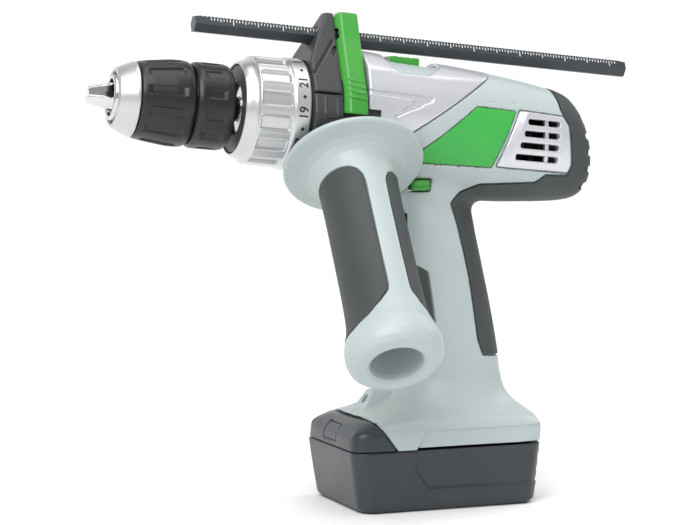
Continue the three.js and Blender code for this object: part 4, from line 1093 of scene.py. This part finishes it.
@dataclass
class Collar:
    """The torque collar with its raised pads and its ring of numbers."""

    rear: float = 66.4
    front: float = 98.2
    radius: float = 27.5
    pads: int = 14
    height: float = 0.9
    numbers: int = 11
    number_station: float = 70.4

    def pad(self, s: Array, r: Array, angle: Array) -> Array:
        """The radius with its sunken panels between the pads."""
        turn = (angle * self.pads / (2 * math.pi)) % 1.0
        wide = np.clip((0.27 - np.abs(turn - 0.5)) / 0.035, 0, 1)
        long = np.clip((s - 76.2) / 0.7, 0, 1) * np.clip((91.4 - s) / 0.7, 0, 1)
        outer = np.clip((r - 25.6) / 0.4, 0, 1)
        lip = np.exp(-(((np.abs(turn - 0.5) - 0.30) / 0.03) ** 2)) * long
        return r - 1.15 * wide * long * outer + 0.12 * lip * outer

    def number(self, text: str, angle: float) -> bpy.types.Object:
        """Wraps printed digits onto the collar.

        Args:
            text: the digits.
            angle: where they stand, in radians from the drill's left side.

        Returns:
            The printed piece.
        """
        curve = bpy.data.curves.new("print", "FONT")
        curve.body = text
        curve.size = 6.4
        curve.offset = 0.1
        curve.align_x = "CENTER"
        curve.align_y = "CENTER"
        holder = bpy.data.objects.new("print", curve)
        bpy.context.scene.collection.objects.link(holder)
        mesh = bpy.data.meshes.new_from_object(holder.evaluated_get(bpy.context.evaluated_depsgraph_get()))
        bpy.data.objects.remove(holder)
        work = bmesh.new()
        work.from_mesh(mesh)
        for cut in np.arange(-4.0, 4.01, 0.5):
            parts = list(work.verts) + list(work.edges) + list(work.faces)
            bmesh.ops.bisect_plane(work, geom=parts, plane_co=(cut, 0, 0), plane_no=(1, 0, 0))
        bmesh.ops.triangulate(work, faces=work.faces[:])
        return self.wrap(work, f"number_{text}", angle)

    def wrap(self, work: bmesh.types.BMesh, name: str, angle: float) -> bpy.types.Object:
        """Bends a flat print round the collar and gives it a thickness.

        Args:
            work: the flat print in mm.
            name: the piece's name.
            angle: where it stands, in radians.

        Returns:
            The printed piece.
        """
        lift = 0.07
        below = 0.25
        flat = [(v.co.x, v.co.y) for v in work.verts]
        faces = [[v.index for v in f.verts] for f in work.faces]
        border = [[v.index for v in e.verts] for e in work.edges if len(e.link_faces) == 1]
        owner = {tuple(sorted(e)): None for e in border}
        for face in faces:
            for a, b in zip(face, face[1:] + face[:1]):
                key = tuple(sorted((a, b)))
                if key in owner:
                    owner[key] = (a, b)
        work.free()
        points = []
        for radius in (self.radius + lift, self.radius - below):
            for across, up in flat:
                turn = angle + across / self.radius
                points.append((self.number_station + up, radius * math.cos(turn), radius * math.sin(turn)))
        n = len(flat)
        walls = [[b, a, a + n, b + n] for a, b in (pair for pair in owner.values() if pair)]
        made = Surface(np.array(points), faces + [[i + n for i in f[::-1]] for f in faces] + walls)
        return Piece(name, INK, "collar", sharp=20).make(outward(made).placed(HEAD))

    def dot(self, index: int, angle: float) -> bpy.types.Object:
        """A printed dot between two numbers."""
        work = bmesh.new()
        bmesh.ops.create_circle(work, cap_ends=True, radius=0.85, segments=20)
        bmesh.ops.poke(work, faces=work.faces[:])
        return self.wrap(work, f"dot_{index + 1}", angle)

    def build(self) -> None:
        """Makes the collar and its numbers."""
        r = self.radius
        ring = [
            (self.rear, 21.9), (self.front, 21.9), (self.front, 22.7), (self.front - 1.6, 23.6),
            (self.front - 4.6, 24.6), (self.front - 5.6, 25.4), (self.front - 6.4, 26.6),
            (self.rear + 8.8, 26.7), (self.rear + 7.9, r),
            (self.rear + 0.8, r), (self.rear, r - 0.8),
        ]
        collar = revolved(divided(eased(ring, 0.4), 0.45), 14 * 30, self.pad)
        Piece("collar_ring", SILVER_RING, "collar", ("torque_collar",)).make(collar.placed(HEAD))
        step = 2 * math.pi / self.numbers
        for i in range(self.numbers):
            self.number(str(1 + 2 * i), (i - 9) * step)
            self.dot(i, (i - 8.5) * step)


# ---- Clamp, rod and handle --------------------------------------------------------------------


@dataclass
class Clamp:
    """The clamp's yoke and saddle, with the lever that frees the depth rod."""

    rear: float = 38.4
    front: float = 65.6
    radius: float = 30.4
    neck: float = 26.8
    drop: float = HANDLE_DROP
    lever_rear: float = 38.6
    lever_front: float = 51.0

    def peak(self, y: Array, u: Array, grow: float) -> Array:
        """The distance to the peaked front outline, grown by a distance in mm."""
        sides = [(27.0, 11.0), (10.0, 38.7), (3.0, 51.4)]
        turns = np.linspace(-math.pi / 2, 0.03, 14)
        arc = [(self.radius * math.cos(a), self.radius * math.sin(a)) for a in turns]
        right = arc + sides
        outline = right + [(-p, q) for p, q in reversed(right)][:-1]
        return outlined(outline, y, u) - grow

    def rod_way(self, y: Array, u: Array, room: float) -> Array:
        """The six-sided hole that the rod runs in."""
        v = u - ROD_HEIGHT
        faces = [np.abs(v), np.abs(0.5 * v + 0.866 * y), np.abs(0.5 * v - 0.866 * y)]
        return np.maximum(np.maximum(faces[0], faces[1]), faces[2]) - ROD_ACROSS / 2 - room

    def yoke(self, s: Array, y: Array, u: Array) -> Array:
        """The whole dark clamp, before it is split."""
        outline = self.peak(y, u, -0.1)
        slope = (s - 66.2) * 0.922 + (u - 26) * 0.387
        body = both(both(both(outline, self.rear - s, 1.2), s - self.front, 1.0), slope, 1.0)
        lever_room = both(s - self.lever_front - 0.4, -4 - u)
        body = without(body, lever_room, 0.6)
        body = without(body, np.hypot(y, u) - self.neck, 0.5)
        body = without(body, self.rod_way(y, u, 0.4), 0.4)
        groove = stroke((53.4, 37.2), (66.6, 17.4), s, u) - 0.45
        body = without(body, both(groove, -(outline + 0.9)), 0.3)
        window = stroke((52.4, 33.6), (53.8, 30.6), s, u) - 0.8
        body = without(body, both(window, -(outline + 1.6)), 0.4)
        return self.side_marks(body, outline, s, u)

    @staticmethod
    def side_marks(body: Array, outline: Array, s: Array, u: Array) -> Array:
        """Adds the thin moulded frame on the clamp's cheeks.

        Args:
            body: the clamp so far.
            outline: distance to the cheeks' outline.
            s: station.
            u: height.

        Returns:
            The clamp with its moulded frame.
        """
        edge = block(s, u, np.zeros_like(s), (54.0, -1.0, -1), (60.4, 11.0, 1), 0.6)
        frame_line = np.abs(edge) - 0.3
        return joined(body, both(frame_line, outline - 0.35), 0.2)

    def parted(self, keep: float) -> Distance:
        """One side of the clamp's split, which lies square to the handle.

        Args:
            keep: 1 for the saddle on the handle's side and -1 for the yoke.

        Returns:
            That part's distance.
        """

        def part(s: Array, y: Array, u: Array) -> Array:
            """The chosen part of the clamp."""
            along = y * math.cos(self.drop) - u * math.sin(self.drop)
            beside = y * math.sin(self.drop) + u * math.cos(self.drop)
            bolt = both(np.hypot(s - HANDLE_STATION, beside) - 4.3, -along)
            edge = 10 - along if keep > 0 else along - 8.8
            return both(without(self.yoke(s, y, u), bolt), edge, 0.4)

        return part

    def lever(self, s: Array, y: Array, u: Array) -> Array:
        """The lock lever, bevelled along its front edge and ribbed for the thumb."""
        outline = self.peak(y, u, 1.0)
        body = both(both(outline, self.lever_rear - s, 1.6), s - self.lever_front, 0.6)
        body = both(body, (outline + (s - self.lever_front) + 3.2) * 0.7071, 0.5)
        body = without(body, np.hypot(y, u) - self.neck - 0.3, 0.5)
        swept = self.rod_way(y - np.clip(y, -0.3, 3.6), u, 0.5)
        body = without(body, swept, 0.3)
        for height in (9.4, 12.2, 15.0, 17.8):
            rib = both(np.abs(u - height - 0.12 * (s - 43)) - 0.35, np.abs(s - 43.6) - 4.2)
            body = joined(body, both(rib, both(outline - 0.55, 3 - np.abs(y))), 0.4)
        return both(body, 1.5 - u, 0.8)

    def build(self) -> None:
        """Makes the yoke, the saddle and the lever."""
        box = ((30, -33, -33), (68, 33, 54))
        yoke = Sampler(*box, 0.6).mesh(self.parted(-1.0))
        Piece("dark_yoke", DARK, "clamp", ("clamp_yoke",)).make(yoke.placed(HEAD))
        saddle = Sampler(*box, 0.6).mesh(self.parted(1.0))
        Piece("dark_saddle", DARK, "clamp", ("clamp_saddle",)).make(saddle.placed(HEAD))
        lever = Sampler((37, -34, 0), (53, 34, 54), 0.5).mesh(self.lever)
        Piece("green_lever", GREEN, "lever", ("rod_lock_lever",)).make(lever.placed(HEAD))


@dataclass
class DepthRod:
    """The six-sided depth rod with its rack and graduations."""

    rear: float = -110.4
    front: float = 121.3
    height: float = ROD_HEIGHT
    across: float = ROD_ACROSS
    tooth: float = 2.0
    inch: float = 25.4
    first_inch: float = 102.1

    def section(self, lower: float) -> list[tuple[float, float]]:
        """The rod's section with its top flat lowered, as side and height."""
        corner = self.across / math.sqrt(3)
        half = self.across / 2
        top = half - lower
        edge = corner - top / math.sqrt(3)
        return [
            (corner, 0), (edge, top), (-edge, top), (-corner, 0), (-corner / 2, -half), (corner / 2, -half),
        ]

    def rod(self) -> Surface:
        """The rod's body, its top cut into rack teeth."""
        depth = 0.75
        stations, drops = [self.rear], [0.5]
        at = self.rear + 5
        while at < self.front - 4:
            stations += [at, at + 0.45, at + 0.95, at + 1.4]
            drops += [0.0, depth, depth, 0.0]
            at += self.tooth
        stations.append(self.front)
        drops.append(0.5)
        points, faces = [], []
        for s, lower in zip(stations, drops):
            points += [(s, y, self.height + u) for y, u in self.section(lower)]
        for k in range(len(stations) - 1):
            for i in range(6):
                j = (i + 1) % 6
                faces.append([6 * k + i, 6 * k + 6 + i, 6 * k + 6 + j, 6 * k + j])
        last = 6 * (len(stations) - 1)
        faces += [list(range(6)), [last + i for i in range(5, -1, -1)]]
        made = Surface(np.array(points, float), faces)
        return outward(made)

    def marks(self) -> Surface:
        """The printed graduations on both upper faces."""
        made = Surface(np.zeros((0, 3)), [])
        count = int((self.front - 10 - self.rear) / (self.inch / 16))
        for side in (1, -1):
            for k in range(-8, count - 8):
                s = self.first_inch - k * self.inch / 16
                if not self.rear + 6 < s < self.front - 8:
                    continue
                length = 2.9 if k % 16 == 0 else 2.3 if k % 8 == 0 else 1.7 if k % 4 == 0 else 1.2
                made = made.plus(self.mark(s, length, side))
        return made

    def mark(self, s: float, length: float, side: int) -> Surface:
        """One printed line on an upper face.

        Args:
            s: its station.
            length: its length down the face, in mm.
            side: 1 for the left face and -1 for the right.

        Returns:
            The thin printed block.
        """
        corner, half = self.across / math.sqrt(3), self.across / 2
        top = np.array([corner / 2, half])
        down = np.array([corner, 0]) - top
        down = down / np.linalg.norm(down)
        out = np.array([0.866, 0.5])
        points = []
        for lift in (0.05, -0.1):
            for ds, dist in ((-0.22, 1.0), (0.22, 1.0), (0.22, 1.0 + length), (-0.22, 1.0 + length)):
                y, u = top + down * dist + out * lift
                points.append((s + ds, side * y, self.height + u))
        faces = [[0, 1, 2, 3], [7, 6, 5, 4], [0, 4, 5, 1], [1, 5, 6, 2], [2, 6, 7, 3], [3, 7, 4, 0]]
        made = Surface(np.array(points), faces)
        return outward(made)

    def build(self) -> None:
        """Makes the rod and its print."""
        Piece("rack_rod", CHARCOAL, "rod", ("depth_rod",), 20).make(self.rod().placed(HEAD))
        Piece("rod_graduations", WHITE_INK, "rod", (), 20).make(self.marks().placed(HEAD))


@dataclass
class SideHandle:
    """The side handle: flange, pale core with soft inlays, and a rounded end."""

    station: float = HANDLE_STATION
    drop: float = HANDLE_DROP
    length: float = 151.2
    stripe_middle: float = 86.5
    stripe_width: float = 34.0
    inlay_top: float = 44.5
    inlay_side_end: float = 118.0
    inlay_end: float = 136.5

    def place(self) -> Matrix:
        """The handle's own axes: along it, towards the rear, and upwards."""
        turn = Matrix.Rotation(-self.drop, 4, "X") @ Matrix.Rotation(math.pi / 2, 4, "Z")
        return HEAD @ Matrix.Translation((self.station, 0, 0)) @ turn

    def profile(self) -> list[tuple[float, float]]:
        """The core's profile, along the handle and out from its axis."""
        return [
            (31.2, 4.4), (31.2, 27.5), (28.6, 32.6), (28.6, 33.8), (29.3, 34.6), (30.4, 34.8), (31.3, 34.2),
            (31.7, 32.9), (32.3, 30.4), (33.4, 26.4), (35.2, 23.0), (37.8, 20.9), (41.5, 19.7), (48.0, 19.2),
            (70.0, 18.8), (100.0, 18.8), (118.0, 19.0), (126.0, 19.5), (132.0, 20.6), (137.0, 22.2),
            (141.0, 23.0), (145.0, 23.0), (148.2, 22.0), (150.4, 19.8), (151.2, 17.0), (151.0, 14.4),
            (149.8, 12.7), (147.5, 12.1), (129.2, 11.4), (129.2, 0.0), (55.2, 0.0), (55.2, 4.4),
        ]

    def surface_radius(self, d: Array) -> Array:
        """The core's outer radius along the grip."""
        grip = [(d0, r0) for d0, r0 in self.profile()[6:23]]
        return smooth_curve(np.array([p[0] for p in grip]), np.array([p[1] for p in grip]), d)

    def inlay_outline(self) -> list[tuple[float, float]]:
        """One inlay unrolled: distance round from its middle, and along the handle."""
        half = (180 - self.stripe_width) / 2 * math.pi / 180 * GRIP_RADIUS
        shape = [
            (1.0, self.inlay_side_end), (1.0, 56.0), (0.97, 51.5), (0.88, 48.0), (0.74, 45.8),
            (0.5, self.inlay_top), (0.0, self.inlay_top - 0.4),
        ]
        lower = [(0.97, self.inlay_side_end + 3), (0.8, 126.0), (0.5, 133.0), (0.2, self.inlay_end)]
        left = [(-p, q) for p, q in reversed(shape[:-1])]
        return [(p * half, q) for p, q in shape + left + [(-p, q) for p, q in lower] + lower[::-1]]

    def round_coordinates(self, y: Array, z: Array, middle: float) -> tuple[Array, Array]:
        """Distance round the handle from an inlay's middle, and out from the axis."""
        turn = np.arctan2(z, y) - math.radians(middle)
        turn = (turn + math.pi) % (2 * math.pi) - math.pi
        return turn * GRIP_RADIUS, np.hypot(y, z)

    def core(self, d: Array, y: Array, z: Array) -> Array:
        """The pale core with a fine groove round each inlay."""
        r = np.hypot(y, z)
        body = outlined(self.profile(), d, r)
        surface = self.surface_radius(d)
        for middle in (self.stripe_middle + 90, self.stripe_middle - 90):
            across, _ = self.round_coordinates(y, z, middle)
            ring = rounded(self.inlay_outline(), 1.0, across, d)
            body = without(body, both(ring - 0.3, surface - 1.3 - r), 0.5)
        return body

    def inlay(self, middle: float) -> Distance:
        """A soft inlay wrapped round the core.

        Args:
            middle: the inlay's middle, in degrees round from the rear.

        Returns:
            Its distance.
        """

        def wrapped(d: Array, y: Array, z: Array) -> Array:
            """The wrapped slab with softened edges."""
            across, r = self.round_coordinates(y, z, middle)
            surface = self.surface_radius(d)
            ring = rounded(self.inlay_outline(), 1.0, across, d)
            slab = both(r - surface - 0.15, surface - 1.25 - r)
            return both(slab, ring + 0.1, 0.9)

        return wrapped

    def build(self) -> None:
        """Makes the core and its two inlays."""
        place = self.place()
        core = Sampler((26, -36, -36), (153, 36, 36), 0.7).mesh(self.core)
        Piece("handle_moulding", PALE, "handle", ("handle_core",)).make(core.placed(place))
        for name, middle in (("front", self.stripe_middle + 90), ("rear", self.stripe_middle - 90)):
            inlay = Sampler((38, -23, -23), (142, 23, 23), 0.6).mesh(self.inlay(middle))
            made = Piece(f"soft_inlay_{name}", SOFT, "handle", (f"handle_inlay_{name}",))
            made.make(inlay.placed(place))


# ---- Battery ----------------------------------------------------------------------------------


@dataclass
class Battery:
    """The slide-in battery: case, front cap and latch."""

    middle: float = -0.8
    seam: float = 30.2
    heights: tuple[float, ...] = (0.0, 2.4, 15.0, 30.2)
    half_lengths: tuple[float, ...] = (45.0, 46.9, 48.9, 50.9)
    half_widths: tuple[float, ...] = (35.1, 36.6, 37.2, 37.8)
    corner: float = 8.0

    def case(self, x: Array, y: Array, z: Array) -> Array:
        """The lower case with its side recess, front dents and feet."""
        length = np.interp(z, self.heights, self.half_lengths)
        width = np.interp(z, self.heights, self.half_widths)
        dx = np.abs(x - self.middle) - length + self.corner
        dy = np.abs(y) - width + self.corner
        round_corner = np.hypot(np.maximum(dx, 0), np.maximum(dy, 0))
        wall = round_corner + np.minimum(np.maximum(dx, dy), 0) - self.corner
        body = both(both(wall, -z, 2.6), z - self.seam, 0.9)
        side = both(rounded(Housing.foot_recess, 1.0, x, z), 30 - np.abs(y))
        body = without(body, both(side, -(wall + 0.9)), 0.35)
        for centre in (-19.0, 19.0):
            dent = np.sqrt(((x - 52.6) / 0.30) ** 2 + (y - centre) ** 2 + ((z - 17) / 1.25) ** 2) - 9.0
            body = without(body, dent * 0.3, 0.8)
        notch = block(x, y, z, (44, -24, -1), (60, 24, 1.0), 0.3)
        return without(body, notch, 0.3)

    def front_form(self, housing: Housing, x: Array, y: Array, z: Array) -> Array:
        """The rounded, finger-grooved front that the cap and the latch share."""
        form = both(housing.grip.distance(z, x, y), 30.6 - z, 0.8)
        nose = np.hypot(np.maximum(x - 39.0, 0), np.maximum(z - 34.0, 0)) - 11.0
        groove = both(np.hypot(x - 55.5, z - 45.5) - 10.0, np.abs(y) - 29.5, 1.6)
        return without(both(form, nose, 1.0), groove, 1.2)

    def cap(self, housing: Housing) -> Distance:
        """The raised front of the battery, open for the latch.

        Args:
            housing: the housing, whose foot the cap continues.

        Returns:
            The cap's distance.
        """

        def shaped(x: Array, y: Array, z: Array) -> Array:
            """The cap between its cheeks."""
            body = both(self.front_form(housing, x, y, z), rounded(Housing.cap, 0.8, x, z) + GAP, 0.9)
            return without(body, block(x, y, z, (39, -9.3, 33.1), (70, 9.3, 41.3), 0.8), 0.3)

        return shaped

    def latch(self, housing: Housing) -> Distance:
        """The latch, flush with the cap's finger groove.

        Args:
            housing: the housing, whose foot the cap continues.

        Returns:
            The latch's distance.
        """

        def shaped(x: Array, y: Array, z: Array) -> Array:
            """The cap's front within the latch's outline."""
            body = block(x, y, z, (41.8, -9, 33.4), (60, 9, 41), 0.8)
            return both(body, self.front_form(housing, x, y, z) + 0.1, 0.5)

        return shaped

    def build(self, housing: Housing) -> None:
        """Makes the battery's outer pieces.

        Args:
            housing: the housing, whose foot the cap continues.
        """
        case = Sampler((-54, -40, -2), (53, 40, 32), 0.8).mesh(self.case)
        Piece("battery_shell", CHARCOAL, "battery", ("battery_case",)).make(case)
        cap = Sampler((26, -40, 28), (54, 40, 47), 0.7).mesh(self.cap(housing))
        Piece("battery_front", CHARCOAL, "battery", ("battery_cap",)).make(cap)
        latch = Sampler((40, -11, 32), (53, 11, 43), 0.5).mesh(self.latch(housing))
        Piece("latch_button", CHARCOAL, "latch", ("battery_latch",)).make(latch)


# ---- What the frame shows as it is ------------------------------------------------------------


@dataclass(frozen=True)
class Carried:
    """Finishes of the frame's own nodes that stay as they are."""

    finishes: tuple[tuple[str, Finish], ...] = (
        ("steel", STEEL), ("satin_alloy", SATIN), ("silver_plastic", SILVER_RING), ("copper", COPPER),
        ("black_plastic", BLACK), ("dark_plastic", DARK), ("battery_plastic", CHARCOAL),
        ("pale_plastic", PALE), ("soft_rubber", SOFT),
        ("green_plastic", GREEN), ("silver_paint", SILVER), ("clear_lens", LENS),
    )

    def dress(self) -> None:
        """Gives each remaining node its slot's finish."""
        finish = dict(self.finishes)
        slots = {row["node"]: row["material_slot"] for row in frame["record"]["subparts"]}
        for name, node in frame["nodes"].items():
            node.data.materials.clear()
            node.data.materials.append(finish[slots[name]].build())
            node.data.shade_smooth()
            node.data.set_sharp_from_angle(angle=math.radians(32))
        log.info("dressed %d frame nodes", len(frame["nodes"]))


# ---- Studio -----------------------------------------------------------------------------------


@dataclass
class Studio:
    """A pale floor, soft lights and the camera."""

    position: tuple[float, float, float] = (0.4075, 1.0220, 0.1825)
    forward: tuple[float, float, float] = (-0.33964, -0.93886, -0.05644)
    roll: float = math.radians(0.61)
    lens: float = 112.28

    def floor(self) -> None:
        """Makes the floor, curved up far behind the drill."""
        rows = [(8.0, 0.0), (2.0, 0.0), (-4.0, 0.0), (-5.0, 0.15), (-5.7, 0.6), (-6.0, 1.4), (-6.0, 6.0)]
        points = [(x, y, z) for x in (-9.0, 9.0) for y, z in rows]
        n = len(rows)
        faces = [[i + 1, i, i + n, i + n + 1] for i in range(n - 1)]
        mesh = bpy.data.meshes.new("floor")
        mesh.from_pydata(points, [], faces)
        mesh.shade_smooth()
        finish = Finish("studio floor", "", (0.90, 0.90, 0.90), (0.89, 0.89, 0.89), 0.7, relief=0.0)
        mesh.materials.append(finish.build())
        made = bpy.data.objects.new("floor", mesh)
        bpy.context.scene.collection.objects.link(made)

    def light(self, name: str, at: tuple[float, float, float], size: float, power: float) -> None:
        """Adds a soft square light aimed at the drill.

        Args:
            name: its name.
            at: its place in metres.
            size: its side in metres.
            power: its power in watts.
        """
        data = bpy.data.lights.new(name, "AREA")
        data.shape = "SQUARE"
        data.size = size
        data.energy = power
        lamp = bpy.data.objects.new(name, data)
        lamp.location = at
        aim = Vector((0, 0, 0.13)) - Vector(at)
        lamp.rotation_euler = aim.to_track_quat("-Z", "Y").to_euler()
        bpy.context.scene.collection.objects.link(lamp)

    def sun(self) -> None:
        """Adds the broad even light from above and in front."""
        data = bpy.data.lights.new("daylight", "SUN")
        data.energy = 2.1
        data.angle = 0.9
        lamp = bpy.data.objects.new("daylight", data)
        lamp.rotation_euler = Vector((-0.5, -0.75, -1.1)).to_track_quat("-Z", "Y").to_euler()
        bpy.context.scene.collection.objects.link(lamp)

    def camera(self) -> None:
        """Places the camera."""
        forward = Vector(self.forward).normalized()
        level = forward.cross(Vector((0, 0, 1))).normalized()
        up = level.cross(forward)
        right = level * math.cos(self.roll) - up * math.sin(self.roll)
        up = right.cross(forward)
        data = bpy.data.cameras.new("camera")
        data.lens = self.lens
        data.sensor_width = 36.0
        data.clip_start = 0.05
        data.clip_end = 40
        shot = bpy.data.objects.new("camera", data)
        axes = Matrix((right, up, -forward)).transposed().to_4x4()
        shot.matrix_world = Matrix.Translation(self.position) @ axes
        bpy.context.scene.collection.objects.link(shot)
        bpy.context.scene.camera = shot

    def build(self) -> None:
        """Sets up the studio."""
        scene = bpy.context.scene
        world = bpy.data.worlds.new("studio")
        world.use_nodes = True
        world.node_tree.nodes["Background"].inputs["Color"].default_value = (1, 1, 1, 1)
        world.node_tree.nodes["Background"].inputs["Strength"].default_value = 0.5
        scene.world = world
        scene.view_settings.view_transform = "Standard"
        self.floor()
        self.camera()
        self.light("key", (1.6, 1.4, 1.7), 1.2, 12)
        self.light("top", (-0.3, 0.1, 2.1), 1.4, 11)
        self.light("rear", (-1.8, -0.6, 1.4), 1.2, 8)
        self.sun()


def main() -> None:
    """Builds the drill and its studio."""
    Studio().build()
    Carried().dress()
    housing = Housing()
    housing.build()
    Controls().build()
    Chuck().build()
    Collar().build()
    Clamp().build()
    DepthRod().build()
    SideHandle().build()
    Battery().build(housing)
    bpy.context.view_layer.update()


if __name__ == "__main__":
    logging.basicConfig(level=logging.INFO, format="%(message)s")
    main()
